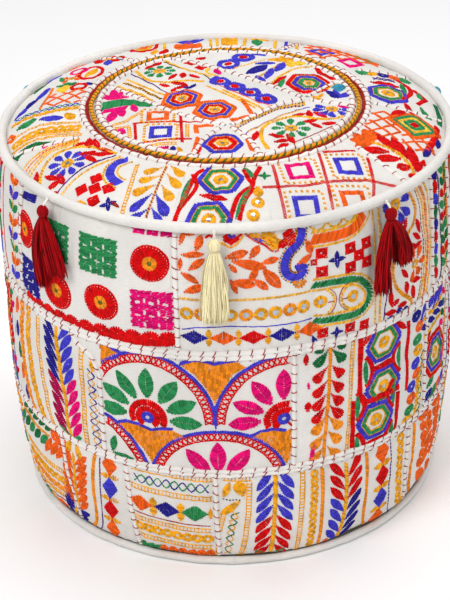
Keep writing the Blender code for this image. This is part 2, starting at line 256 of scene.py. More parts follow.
def tube(path, radius, sides=6, closed=False):
    """A tube along a path, its radius one number or one for each point. Open ends are drawn in to 0.15 of the
    radius.
    """
    path = np.asarray(path, float)
    count = len(path)
    if closed:
        tangent = np.roll(path, -1, 0) - np.roll(path, 1, 0)
    else:
        tangent = np.gradient(path, axis=0)
    tangent /= np.linalg.norm(tangent, axis=1)[:, None] + 1e-12
    guide = np.array([0.0, 0.0, 1.0])
    if abs(tangent[0] @ guide) > 0.9:
        guide = np.array([1.0, 0.0, 0.0])
    side = np.empty_like(path)
    last = np.cross(tangent[0], guide)
    for k in range(count):
        last = last - (last @ tangent[k]) * tangent[k]
        last /= np.linalg.norm(last) + 1e-12
        side[k] = last
    up = np.cross(side, tangent)
    radius = np.broadcast_to(radius, count).astype(float).copy()
    if not closed:
        radius[[0, -1]] *= 0.15
    angle = np.linspace(0, 2 * math.pi, sides, endpoint=False)
    ring = side[:, None] * np.cos(angle)[None, :, None] + up[:, None] * np.sin(angle)[None, :, None]
    points = path[:, None] + ring * radius[:, None, None]
    return points.reshape(-1, 3), grid_faces(count, sides, around=True, along=closed)


class Heap:
    """Collects point and face arrays that become one mesh."""

    def __init__(self):
        self.points, self.faces, self.indices, self.tones, self.total = [], [], [], [], 0

    def put(self, points, faces, index=0, tone=None):
        self.points.append(points)
        self.faces.append(faces + self.total)
        self.indices.append(np.full(len(faces), index))
        self.tones.append(np.full(len(points), rng.uniform(0.2, 0.8)) if tone is None else tone)
        self.total += len(points)

    def mesh(self, name, materials):
        return add_mesh(name, np.concatenate(self.points), np.concatenate(self.faces), materials,
            np.concatenate(self.indices), np.concatenate(self.tones))


# ---------------------------------------------------------------- surfaces
def wall_radius(z):
    above = np.clip((z - 200) / 132, 0, 1.05)
    below = np.clip((200 - z) / 200, 0, 1)
    return GIRTH - 7 * above**2.6 - 15 * below**3.6


def crown_z(r):
    return RIM_Z - CROWN_PUFF + CROWN_RISE * (1 - (np.minimum(r, RIM) / RIM) ** CROWN_POWER)


def segments_distance(u, v, lines):
    """Distance from each point to the nearest of the polylines."""
    best = np.full(np.shape(u), 1e9)
    for line in lines:
        for (ax, ay), (bx, by) in zip(line[:-1], line[1:]):
            dx, dy = bx - ax, by - ay
            t = np.clip(((u - ax) * dx + (v - ay) * dy) / (dx * dx + dy * dy + 1e-9), 0, 1)
            best = np.minimum(best, np.hypot(u - ax - t * dx, v - ay - t * dy))
    return best


class Field:
    """A height over a chart, kept on a grid and read between its points."""

    def __init__(self, u0, u1, v0, v1, step, around=False):
        self.u0, self.v0, self.around = u0, v0, around
        self.nu = int(round((u1 - u0) / step)) + (0 if around else 1)
        self.nv = int(round((v1 - v0) / step)) + 1
        self.du = (u1 - u0) / (self.nu - (0 if around else 1))
        self.dv = (v1 - v0) / (self.nv - 1)
        self.u, self.v = np.meshgrid(u0 + self.du * np.arange(self.nu), v0 + self.dv * np.arange(self.nv),
            indexing="ij")
        self.height = np.zeros((self.nu, self.nv))

    def __call__(self, u, v):
        x = (np.asarray(u) - self.u0) / self.du
        y = np.clip((np.asarray(v) - self.v0) / self.dv, 0, self.nv - 1.001)
        x = x % self.nu if self.around else np.clip(x, 0, self.nu - 1.001)
        i, j = np.floor(x).astype(int) % self.nu, np.floor(y).astype(int)
        fx, fy = x - np.floor(x), y - j
        i2, h = (i + 1) % self.nu, self.height
        low = h[i, j] * (1 - fx) + h[i2, j] * fx
        high = h[i, j + 1] * (1 - fx) + h[i2, j + 1] * fx
        swell = low * (1 - fy) + high * fy
        turn = np.asarray(u) / RIM
        crinkle = np.sin(131 * turn + 2.2 * np.sin(0.055 * v + 3 * turn)) * np.sin(0.029 * v + 5 * turn) ** 2
        return swell + CRINKLE * crinkle


def soft_noise(shape, blur, seed, around):
    """Seeded noise of about unit height, blurred over a number of grid steps each way."""
    made = np.random.default_rng(seed).normal(size=shape)
    for axis, width in enumerate(blur):
        reach = max(1, int(width * 3))
        kernel = np.exp(-0.5 * (np.arange(-reach, reach + 1) / width) ** 2)
        kernel /= kernel.sum()
        mode = "wrap" if axis == 0 and around else "edge"
        pad = [(0, 0), (0, 0)]
        pad[axis] = (reach, reach)
        padded = np.pad(made, pad, mode=mode)
        made = np.apply_along_axis(lambda row: np.convolve(row, kernel, "valid"), axis, padded)
    return made / made.std()


# ---------------------------------------------------------------- embroidery
class Chart:
    """A flat pattern area in millimetres, laid on the pouf."""

    def __init__(self, field):
        self.field = field


class Wall(Chart):
    """u runs round the wall from the front towards +X, at the rim's radius. v is the height."""

    def place(self, u, v, height):
        slope = (wall_radius(v + 1) - wall_radius(v - 1)) / 2
        length = np.sqrt(1 + slope**2)
        out = (self.field(u, v) + height) / length
        r = wall_radius(v) + out
        angle = u / RIM
        return np.stack([r * np.sin(angle), -r * np.cos(angle), v - out * slope], -1)


class Crown(Chart):
    """u and v are x and y, seen from above."""

    def place(self, u, v, height):
        r = np.hypot(u, v) + 1e-9
        slope = -CROWN_RISE * CROWN_POWER / RIM * (r / RIM) ** (CROWN_POWER - 1)
        length = np.sqrt(1 + slope**2)
        out = (self.field(u, v) + height) / length
        return np.stack([u - u / r * slope * out, v - v / r * slope * out, crown_z(r) + out], -1)


def along(path, step, closed=False):
    """Evenly spaced points on a polyline, with the unit direction at each."""
    path = np.asarray(path, float)
    if closed:
        path = np.vstack([path, path[:1]])
    lengths = np.hypot(*np.diff(path, axis=0).T)
    total = lengths.sum()
    count = max(1, int(round(total / step)))
    at = (np.arange(count) + 0.5) * total / count
    marks = np.concatenate([[0], np.cumsum(lengths)])
    k = np.clip(np.searchsorted(marks, at, "right") - 1, 0, len(lengths) - 1)
    t = (at - marks[k]) / (lengths[k] + 1e-9)
    points = path[k] + (path[k + 1] - path[k]) * t[:, None]
    ends = path[k + 1] - path[k]
    return points, ends / (np.linalg.norm(ends, axis=1)[:, None] + 1e-9), at


def normals(d):
    """The directions turned a quarter turn to the left."""
    return np.stack([-d[:, 1], d[:, 0]], 1)


def heading(degrees):
    a = math.radians(degrees)
    return np.array([math.cos(a), math.sin(a)])


def curve(points, closed=False, steps=6):
    """A smooth line through a few points."""
    p = np.asarray(points, float)
    if closed:
        p = np.vstack([p[-1:], p, p[:2]])
    else:
        p = np.vstack([2 * p[:1] - p[1:2], p, 2 * p[-1:] - p[-2:-1]])
    t = np.arange(steps)[:, None] / steps
    out = []
    for a, b, c, d in zip(p[:-3], p[1:-2], p[2:-1], p[3:]):
        square = (2 * a - 5 * b + 4 * c - d) * t**2
        cube = (3 * b - a - 3 * c + d) * t**3
        out.append(0.5 * (2 * b + (c - a) * t + square + cube))
    if not closed:
        out.append(p[-2:-1])
    return np.vstack(out)


def turned(points, degrees, centre=(0, 0)):
    a = math.radians(degrees)
    c = np.asarray(centre, float)
    return (np.asarray(points, float) - c) @ np.array([[math.cos(a), math.sin(a)],
        [-math.sin(a), math.cos(a)]]) + c


def circle(centre, radius, count=24, start=0.0, end=360.0):
    a = np.radians(np.linspace(start, end, count, endpoint=end - start < 360))
    return np.stack([centre[0] + radius * np.cos(a), centre[1] + radius * np.sin(a)], 1)


def star_tips(x, y, reach, count):
    """Evenly spaced points about a centre, the first straight up."""
    turns = np.arange(count) * math.pi / (count / 2)
    return [(x + reach * math.sin(a), y + reach * math.cos(a)) for a in turns]


class Embroidery:
    """Stitches on one chart. Each is a raised strand of floss from point to point."""

    PITCH = 1.7
    STATIONS = np.array([-0.04, 0.10, 0.5, 0.90, 1.04])  # along a strand
    HEIGHTS = np.array([0.0, 0.85, 1.0, 0.85, 0.0])
    SHARES = np.array([0.6, 1.0, 1.0, 1.0, 0.6])  # of the strand's width
    SECTION = 4  # points across a strand at each station

    def __init__(self, chart, keep=None):
        self.chart, self.keep = chart, keep
        self.a, self.b, self.width, self.rise, self.index = [], [], [], [], []
        self.mirrors = []
        self.level, self.levels = 0.0, []

    def put(self, a, b, colour, width=2.15, rise=0.95):
        a, b = np.atleast_2d(np.asarray(a, float)), np.atleast_2d(np.asarray(b, float))
        if self.keep is not None:
            inside = self.keep(*((a + b) / 2).T)
            a, b = a[inside], b[inside]
        for store, value in ((self.width, width), (self.rise, rise)):
            store.append(np.full(len(a), float(value)))
        self.levels.append(np.full(len(a), self.level))
        self.a.append(a)
        self.b.append(b)
        self.index.append(np.full(len(a), NAMES.index(colour)))

    # -- filled shapes
    def satin(self, outline, angle, colour, longest=8.5):
        """Fills an outline with strands at this angle."""
        poly = turned(outline, -angle)
        nxt = np.roll(poly, -1, 0)
        low, high = poly[:, 1].min(), poly[:, 1].max()
        count = max(1, int(round((high - low) / self.PITCH)))
        starts, ends = [], []
        for row, y in enumerate(low + (np.arange(count) + 0.5) * (high - low) / count):
            hit = (poly[:, 1] > y) != (nxt[:, 1] > y)
            (px, py), (qx, qy) = poly[hit].T, nxt[hit].T
            x = np.sort(px + (y - py) / (qy - py) * (qx - px))
            for x0, x1 in zip(x[::2], x[1::2]):
                if x1 - x0 < 0.5:
                    continue
                pieces = int(math.ceil((x1 - x0) / longest))
                cuts = np.linspace(x0, x1, pieces + 1)
                if pieces > 1:
                    cuts[1:-1] += (row % 3 - 1) * 1.6
                starts += [(c, y) for c in cuts[:-1]]
                ends += [(c, y) for c in cuts[1:]]
        if starts:
            self.put(turned(starts, angle), turned(ends, angle), colour)

    def disc(self, centre, radius, colour, inner=0.0, squash=1.0, spin=0.0):
        """Rings of strands that all point to the centre."""
        rings = max(1, int(math.ceil((radius - inner) / 8.5)))
        edges = np.linspace(inner, radius, rings + 1)
        for r0, r1 in zip(edges[:-1], edges[1:]):
            count = max(6, int(2 * math.pi * (r0 * 0.35 + r1 * 0.65) / self.PITCH))
            angle = np.arange(count) * 2 * math.pi / count + 0.03
            ray = np.stack([np.cos(angle), squash * np.sin(angle)], 1)
            c = np.asarray(centre, float)
            jitter = rng.uniform(-0.35, 0.35, (count, 1))
            a, b = c + ray * (max(r0, 0.3) + jitter * (r0 > inner)), c + ray * (r1 + jitter * (r1 < radius))
            self.put(turned(a, spin, centre), turned(b, spin, centre), colour)

    def leaf(self, base, tip, width, colour, fat=0.45, split=True):
        """A leaf or petal in fishbone stitch: strands slant from its spine to its edges."""
        base, tip = np.asarray(base, float), np.asarray(tip, float)
        length = np.hypot(*(tip - base))
        axis = (tip - base) / (length + 1e-9)
        side = np.array([-axis[1], axis[0]])
        count = max(3, int(length / self.PITCH))
        t = (np.arange(count) + 0.5) / count
        half = width / 2 * np.sin(math.pi * t ** (math.log(0.5) / math.log(fat))) ** 0.8
        reach = np.minimum(t + 0.45 * half / length, 1.0)
        spine = base + axis * (length * t)[:, None]
        if not split:
            self.put(spine - side * half[:, None], spine + side * half[:, None], colour)
            return
        for sign in (-1, 1):
            edge = base + axis * (length * reach)[:, None] + side * (sign * half)[:, None]
            self.put(spine, edge, colour)

    def drop(self, base, tip, width, colour):
        self.leaf(base, tip, width, colour, fat=0.7, split=width > 6)

    # -- lines
    def band(self, path, width, colour, closed=False, slant=0.25, step=None, rise=0.95, shift=0.0):
        """Strands across a path, side by side."""
        p, d, _ = along(path, step or self.PITCH, closed)
        n = normals(d)
        p = p + n * shift
        half, lean = n * width / 2, d * slant * width / 2
        self.put(p - half - lean, p + half + lean, colour, rise=rise)

    def line(self, path, colour, width=1.15, dash=4.0, gap=0.0, closed=False, shift=0.0):
        p, d, _ = along(path, dash + gap, closed)
        p = p + normals(d) * shift
        self.put(p - d * dash * 0.52, p + d * dash * 0.52, colour, width=width, rise=0.6)

    def rope(self, path, colours, width=2.6, shift=0.0, slant=0.9):
        """A twisted line, its colours taken in turn."""
        p, d, _ = along(path, self.PITCH)
        n = normals(d)
        p = p + n * shift
        a, b = p - n * width / 2 - d * slant * width / 2, p + n * width / 2 + d * slant * width / 2
        for k, colour in enumerate(colours):
            self.put(a[k :: len(colours)], b[k :: len(colours)], colour, width=1.3, rise=0.85)

    def ladder(self, path, colour="gold", width=5.0, pitch=3.2):
        """Two rails with rungs that overhang them a little."""
        for sign in (-1, 1):
            self.line(path, colour, 1.15, pitch, shift=sign * width * 0.36)
        p, d, _ = along(path, pitch)
        n = normals(d) * width * 0.42
        self.put(p - n, p + n, colour, width=1.1, rise=0.7)

    def beads(self, path, colour="gold", other="orange", pitch=6.5, size=2.6):
        """A chain of small loops, with a cross stitch between neighbours."""
        p, d, _ = along(path, pitch)
        for point in p:
            self.disc(point, size, colour, inner=size * 0.35)
        q = p + d * pitch / 2
        n = normals(d)
        self.put(q - n * size * 0.7, q + n * size * 0.7, other, width=1.2, rise=0.7)

    def crosses(self, path, colour="red", pitch=2.6, size=2.2):
        p, d, _ = along(path, pitch)
        n = normals(d)
        for sign in (-1, 1):
            q = (d + sign * n) * size * 0.6
            self.put(p - q, p + q, colour, width=1.1, rise=0.7)

    def interlace(self, path, first, second, rise=4.0, period=15.0, width=1.4):
        """Two zigzags that cross each other."""
        for sign, colour in ((1, first), (-1, second)):
            p, d, _ = along(path, period / 2)
            n = normals(d)
            side = sign * np.where(np.arange(len(p)) % 2 == 0, 1, -1)[:, None]
            self.line(curve(p + n * side * rise, steps=4), colour, width, 2.4)

    def eyed_chain(self, eyes, colour, radius=7.2, width=4.8):
        """Rings linked in a chain, each about a red eye."""
        for k, c in enumerate(eyes):
            self.level = 0.3 * (k % 2)
            self.band(circle(c, radius, 30), width, colour, closed=True)
            self.disc(c, 3.6, "red")
        self.level = 0.0

    def lozenges(self, path, colours, half=(10, 7), gap=24.0, between="gold"):
        """A row of diamonds with a bow of two ovals between neighbours."""
        p, d, _ = along(path, gap)
        for k, (c, e) in enumerate(zip(p, d)):
            angle = math.degrees(math.atan2(e[1], e[0]))
            shape = [(half[0], 0), (0, half[1]), (-half[0], 0), (0, -half[1])]
            self.satin(turned(shape, angle) + c, angle + 90, colours[k % len(colours)])
            if k + 1 < len(p):
                middle = (c + p[k + 1]) / 2
                n = np.array([-e[1], e[0]])
                for sign in (-1, 1):
                    self.leaf(middle + n * sign * 0.3, middle + n * sign * (half[1] + 1.2), half[1] * 0.75,
                        between, split=False)

    # -- motifs
    def shisha(self, centre, radius=5.5, mirror=2.1, colour="gold"):
        self.disc(centre, radius, colour, inner=mirror)
        self.mirrors.append((centre[0], centre[1], mirror + 0.5))

    def medallion(self, centre, radius, rings, spin=0.0):
        """A hexagon of colour rings about a small mirror."""
        def hexagon(r):
            return circle(centre, r, 6, spin, spin + 300)

        edge = radius
        for colour, width in rings:
            self.band(hexagon(edge - width / 2), width, colour, closed=True, slant=0.1)
            self.line(hexagon(edge - width - 0.5), "gold", 1.2, 3.0, closed=True)
            edge -= width + 1.1
        self.shisha(centre, min(6.0, max(3.2, edge * 0.866 - 0.8)), 1.7)

    def flower(self, centre, radius, colour, petals=8):
        c = np.asarray(centre, float)
        core = radius * 0.34
        for k in range(petals):
            ray = heading(k * 360 / petals)
            self.leaf(c + ray * core * 1.05, c + ray * radius, radius * 0.5, colour, fat=0.6)
        self.shisha(c, core, core * 0.38)

    def petals(self, centre, core, colour, tips, width):
        """A flower whose petals each reach their own tip."""
        c = np.asarray(centre, float)
        for tip in tips:
            ray = (np.asarray(tip, float) - c) / math.dist(tip, centre)
            self.leaf(c + ray * (core + 0.5), tip, width, colour, fat=0.6)
        self.shisha(centre, core, 1.8)

    def leaves(self, rows, colour=None, **shape):
        """Leaves from rows of base x and y, tip x and y, width and, where it varies, colour."""
        for x0, y0, x1, y1, width, *hue in rows:
            self.leaf((x0, y0), (x1, y1), width, *(hue or [colour]), **shape)

    def spray(self, path, colour, length=9.0, width=4.0, pitch=6.0, lean=35, stem=None, sides=(-1, 1)):
        """Leaves along a stem, in pairs."""
        p, d, _ = along(path, pitch)
        if stem:
            self.line(path, stem, 0.9)
        for k, (c, e) in enumerate(zip(p, d)):
            here = colour if isinstance(colour, str) else colour[k % len(colour)]
            for sign in sides:
                a = math.radians(lean * sign)
                ray = np.array([e[0] * math.cos(a) - e[1] * math.sin(a),
                    e[0] * math.sin(a) + e[1] * math.cos(a)])
                self.leaf(c + ray * 1.0, c + ray * length, width, here)

    def feather(self, stem, half, spans, pitch=11.5, blade=8.6, stem_width=4.2, dark=0):
        """Long blades that sweep up and out from a stem, their colour set by how far along they are. On the
        side that dark names, each blade takes a darker copy of its colour as painted shade.
        """
        # Darker copies of the blade colours: painted shade for one side of the stem
        painted_shade_copies = {"blue": "navy", "magenta": "plum", "green": "leaf"}
        p, d, at = along(stem, pitch)
        total = at[-1] + pitch / 2
        for c, e, t in zip(p, d, at):
            colour = next(name for limit, name in spans if t / total <= limit + 1e-6)
            n = np.array([-e[1], e[0]])
            for sign in (-1, 1):
                root = c - e * pitch * 0.7 + n * sign * stem_width * 0.4
                tip = c + e * half * 0.72 + n * sign * half
                # Blades on the side that dark names take the darker copy: painted shade
                self.leaf(root, tip, blade * 0.8, painted_shade_copies.get(colour, colour) if sign == dark else colour,
                    fat=0.55)
        self.band(stem, stem_width * 0.8, "gold", slant=0.9)
        self.line(stem, "brown", 0.9, 1.4, 2.0)

    def woven(self, corner, width, height, colour, lean=0.0):
        """A solid block of close strands with wavy edges and small slits that show the cloth."""
        x0, y0 = corner
        columns, rows = max(2, round(width / 11.0)), max(2, round(height / 5.6))
        cw, ch = width / columns, height / rows
        slits = [(i * cw, (j + 0.5) * ch, 0.9, 2.1) for i in range(1, columns) for j in range(0, rows, 2)]
        slits += [((i + 0.5) * cw, j * ch, 2.1, 0.9) for i in range(columns) for j in range(2 - rows % 2,
            rows, 2)]
        a, b = [], []
        for y in np.arange(0.6, height, 1.35):
            left, right = 0.8 * math.sin(y * 1.15), width + 0.8 * math.sin(y * 1.15 + 2)
            cuts = sorted((sx - hx, sx + hx) for sx, sy, hx, hy in slits if abs(y - sy) < hy)
            stops = [left] + [edge for cut in cuts for edge in cut] + [right]
            for p0, p1 in zip(stops[::2], stops[1::2]):
                parts = max(1, round((p1 - p0) / 6))
                marks = np.linspace(p0, p1, parts + 1)
                for m0, m1 in zip(marks[:-1], marks[1:]):
                    drift = 0.7 * math.sin((m0 + m1) * 0.57)
                    a.append((x0 + m0 + lean * y, y0 + y + drift))
                    b.append((x0 + m1 + lean * y, y0 + y - drift))
        self.put(a, b, colour, width=1.75)

    def poppy(self, centre, radius=16.0):
        """A solid round flower, dotted near its edge."""
        for r0, r1 in ((0.36, 0.70), (0.66, 1.0)):
            count = int(2 * math.pi * radius * r1 / 1.25)
            angle = np.arange(count) * 2 * math.pi / count
            ray = np.stack([np.cos(angle), np.sin(angle)], 1) * radius
            c = np.asarray(centre, float)
            self.put(c + ray * r0, c + ray * r1, "red", width=1.7)
        self.disc(centre, radius * 0.39, "amber", inner=1.6)
        self.disc(centre, 2.0, "olive", inner=0.5)
        dots, d, _ = along(circle(centre, radius * 0.9, 36), 2.6, True)
        self.put(dots - d * 0.3, dots + d * 0.3, "white", width=0.5, rise=1.25)

    def fan(self, centre, across, tall, petal, angles, heart=17.0, reach=45.0, fat=13.0, first=0, last=180,
            eye=True):
        """Half a rosette under an arch of crossed red stitches with a blue outline."""
        c = np.asarray(centre, float)
        for degrees in angles:
            ray = heading(degrees)
            self.leaf(c + ray * (heart + 1.5), c + ray * reach * (1 + 0.06 * abs(ray[1])), fat, petal,
                fat=0.42)
        self.disc(c, heart, "red", inner=5.5 if eye else 1.0)
        if eye:
            self.disc(c, 5.8, "blue", inner=1.6)
            self.mirrors.append((c[0], c[1], 1.9))
        t = np.radians(np.linspace(first, last, 60))
        arch = c + np.stack([np.cos(t) * across, np.sin(t) * tall], 1)
        self.lattice_band(arch, 7.0, "red")
        self.band(arch, 2.6, "blue", shift=-5.2, slant=1.0)

    def lattice_band(self, path, width, colour, pitch=4.6):
        """Crossed stitches between two lines."""
        p, d, _ = along(path, pitch)
        n = normals(d) * width / 2
        for sign in (-1, 1):
            e = d * sign * pitch * 0.45
            self.put(p - n - e, p + n + e, colour, width=1.5)
            self.line(path, colour, 1.4, 3.0, shift=sign * width * 0.47)

    def hollow_square(self, centre, half, hole, colour, spin=0.0):
        """A square frame in satin stitch with mitred corners."""
        for k in range(4):
            side = [(-half, -half), (half, -half), (hole, -hole), (-hole, -hole)]
            self.satin(turned(side, spin + 90 * k) + np.asarray(centre, float), spin + 90 * k + 84, colour)

    def dotted_frame(self, centre, half, spin=0.0, pitch=4.6):
        c = np.asarray(centre, float)
        ring = turned([(-half, -half), (half, -half), (half, half), (-half, half)], spin) + c
        p, d, _ = along(ring, pitch, True)
        n = normals(d)
        for sign in (-1, 1):
            self.put(p - n * 1.1 - d * sign * 0.9, p + n * 1.1 + d * sign * 0.9, "gold", width=1.1)

    def checker(self, centre, cells, size, colour="red", spin=0.0):
        """Small solid squares that touch at their corners, each worked round a tiny open middle."""
        half = size / 2
        for x, y in cells:
            c = turned([(x, y)], spin)[0] + np.asarray(centre, float)
            self.hollow_square(c, half, 0.7, colour, spin)

    def star(self, centre, radius, colour):
        c = np.asarray(centre, float)
        for k in range(4):
            self.leaf(c, c + radius * heading(90 * k), radius * 0.55, colour, fat=0.25)

    def lattice(self, box, spin, colour="orange", cell=14.0):
        """Crossing chain lines."""
        x0, x1, y0, y1 = box
        c = np.array([(x0 + x1) / 2, (y0 + y1) / 2])
        reach = math.hypot(x1 - x0, y1 - y0) / 2
        for turn in (spin, spin + 90):
            for k in np.arange(-reach, reach, cell):
                ray = turned([(-reach, k), (reach, k)], turn) + c
                p, d, _ = along(ray, 2.2)
                inside = (p[:, 0] > x0) & (p[:, 0] < x1) & (p[:, 1] > y0) & (p[:, 1] < y1)
                n = normals(d) * 0.9
                self.put((p - d - n)[inside], (p + d + n)[inside], colour, width=1.0)
                self.put((p - d + n)[inside], (p + d - n)[inside], colour, width=1.0)

    # -- output
    def points_of(self, a, b, width, rise, level):
        d = b - a
        length = np.linalg.norm(d, axis=1)[:, None] + 1e-9
        n = normals(d) / length
        centre = a[:, None] + d[:, None] * self.STATIONS[None, :, None]
        side = n[:, None] * (width[:, None] / 2 * self.SHARES)[..., None]
        top = rise[:, None] * self.HEIGHTS + level[:, None]
        low = level[:, None] - 0.35
        rows = []
        for offset, lift in ((-1.0, low), (-0.45, top), (0.45, top), (1.0, low)):
            p = centre + side * offset
            rows.append(self.chart.place(p[..., 0], p[..., 1], lift))
        return np.stack(rows, 2)

    def mesh(self, name):
        a, b = np.concatenate(self.a), np.concatenate(self.b)
        width, rise = np.concatenate(self.width), np.concatenate(self.rise)
        index, level = np.concatenate(self.index), np.concatenate(self.levels)
        rise = rise * rng.uniform(0.85, 1.15, len(rise))
        width = width * rng.uniform(0.92, 1.08, len(width))
        a = a + rng.normal(0, 0.08, a.shape)
        b = b + rng.normal(0, 0.08, b.shape)
        points = self.points_of(a, b, width, rise, level)
        count = len(a)
        quads = grid_faces(len(self.STATIONS), self.SECTION)
        each = len(self.STATIONS) * self.SECTION
        faces = (quads[None] + (np.arange(count) * each)[:, None, None]).reshape(-1, 4)
        tone = np.repeat(rng.uniform(0.0, 1.0, count), each)
        return add_mesh(name, points.reshape(-1, 3), faces, THREADS, np.repeat(index, len(quads)), tone)

    def mirror_mesh(self, name):
        heap = Heap()
        for u, v, r in self.mirrors:
            if self.keep is not None and not self.keep(np.array([u]), np.array([v]))[0]:
                continue
            rings = [(0.02, 0.55), (0.7, 0.5), (1.0, 0.42)]
            angle = np.linspace(0, 2 * math.pi, 14, endpoint=False)
            tilt = rng.uniform(-0.06, 0.06, 2)
            points = []
            for share, lift in rings:
                x, y = np.cos(angle) * r * share, np.sin(angle) * r * share
                points.append(self.chart.place(u + x, v + y, lift + tilt[0] * x + tilt[1] * y))
            heap.put(np.concatenate(points), grid_faces(3, 14, around=True))
        return heap.mesh(name, [MIRROR])


# ---------------------------------------------------------------- seams
UPPER_BACK = [245, 335, 425, 515, 606, 700, 795, 895]
MIDDLE_BACK = [245, 350, 440, 545, 640, 745, 850, 925]
LOWER_BACK = [250, 330, 405, 500, 590, 690, 780, 880, 940]


def row_line(height, lean, wander):
    """A seam that runs all round the wall, not quite level."""
    s = np.linspace(-ROUND / 2, ROUND / 2, 180)
    return np.stack([s, height + wander * np.sin(s / RIM + lean) + 0.5 * np.sin(s / 31.0)], 1)


UPPER_ROW = row_line(218.0, 1.9, 1.8)
LOWER_ROW = row_line(102.5, 4.1, 2.6)


def row_z(row, s):
    return np.interp((np.asarray(s) + ROUND / 2) % ROUND - ROUND / 2, row[:, 0], row[:, 1])


def wrap(s):
    return (s + ROUND / 2) % ROUND - ROUND / 2


WHIPPED = [
    [(-211, 220), (-210, 327)],
    [(-42, 221), (-43, 327)],
    [(205, 219), (203, 327)],
    [(-113, 104), (-113, 180), (-120, 197), (-138, 208), (-142, 216)],
    [(50, 102), (51, 218)],
    [(196, 100), (194, 217)],
    [(-158, 9), (-163, 60), (-164, 103)],
    [(-88, 9), (-92, 50), (-93, 103)],
    [(-14, 9), (-15, 60), (-15, 103)],
    [(184, 9), (174, 50), (172, 99)],
]
for z0, z1, starts in ((220, 327, UPPER_BACK), (104, 217, MIDDLE_BACK), (9, 101, LOWER_BACK)):
    for k, start in enumerate(starts):
        tilt = 5 * math.sin(k * 2.3 + z0)
        WHIPPED.append([(wrap(start - tilt), z0), (wrap(start - tilt) + 2 * tilt * 0.6, z1)])
PLAIN_SEAMS = [[(67, 221), (67, 327)], [(128, 220), (128, 327)], [(103, 101), (103, 217)]]

CENTRE_SEAMS = [
    curve([(-102, 42), (-82, 18), (-60, -8), (-36, -32), (0, -54)]),
    [(-4, -57), (-20, -82), (-29, -107)],
    [(4, -56), (19, -80), (29, -106)],
    curve([(4, -54), (30, -30), (48, -13), (68, -2)]),
    [(-46, 98), (0, 61), (66, 2)],
    [(70, 2), (88, 26), (103, 43)],
    [(72, -5), (92, -10), (109, -13)],
]
RING_SEAMS = [[(-123, -55), (-182, -55)], [(107, -84), (146, -120)], [(126, -3), (186, -6)],
    [(118, 76), (166, 86)]]
for degrees in (157, 218):
    ray = heading(degrees - 90)
    RING_SEAMS.append([tuple(126 * ray), tuple(185 * ray)])


def simulate(field, chart, lines, skip, name):
    """Blows the cloth out from its pinned seams with the cloth solver, and keeps how far they went."""
    field.height[:] = 0
    start = chart.place(field.u, field.v, 0.0).reshape(-1, 3)
    above = chart.place(field.u, field.v, 1.0).reshape(-1, 3) - start
    index = np.arange(field.nu * field.nv).reshape(field.nu, field.nv)
    i, j = np.meshgrid(np.arange(field.nu - (not field.around)), np.arange(field.nv - 1), indexing="ij")
    i2 = (i + 1) % field.nu
    faces = np.stack([index[i, j], index[i2, j], index[i2, j + 1], index[i, j + 1]], -1).reshape(-1, 4)
    keep = ~skip.ravel()[faces].any(1)
    used = np.unique(faces[keep])
    renumber = np.zeros(field.nu * field.nv, int)
    renumber[used] = np.arange(len(used))
    obj = add_mesh(name, start[used], renumber[faces[keep]], [COTTON])
    gap = segments_distance(field.u, field.v, lines).ravel()[used]
    edges = np.bincount(np.sort(faces[keep].ravel()), minlength=field.nu * field.nv)[used] < 4
    pins = obj.vertex_groups.new(name="pins")
    for k in np.flatnonzero((gap < PINNED) | edges):
        pins.add([int(k)], 1.0, "REPLACE")
    cloth = obj.modifiers.new("Cloth", "CLOTH")
    settings = cloth.settings
    settings.quality = 6
    settings.mass = 0.25
    settings.tension_stiffness = settings.compression_stiffness = 12
    settings.shear_stiffness = 4
    settings.bending_stiffness = 0.6
    settings.vertex_group_mass = "pins"
    settings.use_pressure = True
    settings.uniform_pressure_force = 4
    settings.shrink_min = -0.035
    settings.effector_weights.gravity = 0
    scene = bpy.context.scene
    for step in range(1, SOLVER_FRAMES + 1):
        scene.frame_set(step)
    graph = bpy.context.evaluated_depsgraph_get()
    evaluated = obj.evaluated_get(graph)
    moved = np.empty(len(used) * 3, np.float32)
    evaluated.data.vertices.foreach_get("co", moved)
    shift = moved.reshape(-1, 3) * 1000 - start[used]
    out = (shift * above[used]).sum(1)
    scene.frame_set(1)
    bpy.data.objects.remove(obj, do_unlink=True)
    flat = np.zeros(field.nu * field.nv)
    flat[used] = out
    field.height = flat.reshape(field.height.shape)


def settle(field, chart, lines, height, blur, seed, skip, name):
    simulate(field, chart, lines, skip, name)
    top = np.percentile(field.height[~skip], 97) + 1e-6
    swell = field.height * (height * 1.25 / top)
    gap = segments_distance(field.u, field.v, lines)
    field.height = np.clip(swell, -1.5, height * 1.6) - 1.2 * np.exp(-((gap / GROOVE) ** 2))
    field.height += 0.3 * soft_noise(field.height.shape, blur, seed, field.around)


wall_lines = WHIPPED + PLAIN_SEAMS + [UPPER_ROW, LOWER_ROW]
wall_lines += [[(s + ROUND, z) for s, z in line] for line in WHIPPED if line[0][0] < -560]
wall_lines += [[(s - ROUND, z) for s, z in line] for line in WHIPPED if line[0][0] > 560]
wall_field = Field(-ROUND / 2, ROUND / 2, WALL_FOOT, WALL_TOP, 5.0, around=True)
wall = Wall(wall_field)
rims = [[(-ROUND / 2, WALL_FOOT), (ROUND / 2, WALL_FOOT)], [(-ROUND / 2, WALL_TOP), (ROUND / 2, WALL_TOP)]]
no_skip = np.zeros(wall_field.height.shape, bool)
settle(wall_field, wall, wall_lines + rims, 2.0, (2.6, 3.2), 3, no_skip, "wall_cloth_sim")

crown_field = Field(-191, 191, -191, 191, 4.0)
crown = Crown(crown_field)
crown_lines = CENTRE_SEAMS + RING_SEAMS + [circle((0, 0), BRAID_R, 97, 0, 360.1),
    circle((0, 0), 187.5, 97, 0, 360.1)]
outside = np.hypot(crown_field.u, crown_field.v) > 190.5
settle(crown_field, crown, crown_lines, 1.6, (3.0, 3.0), 5, outside, "crown_cloth_sim")


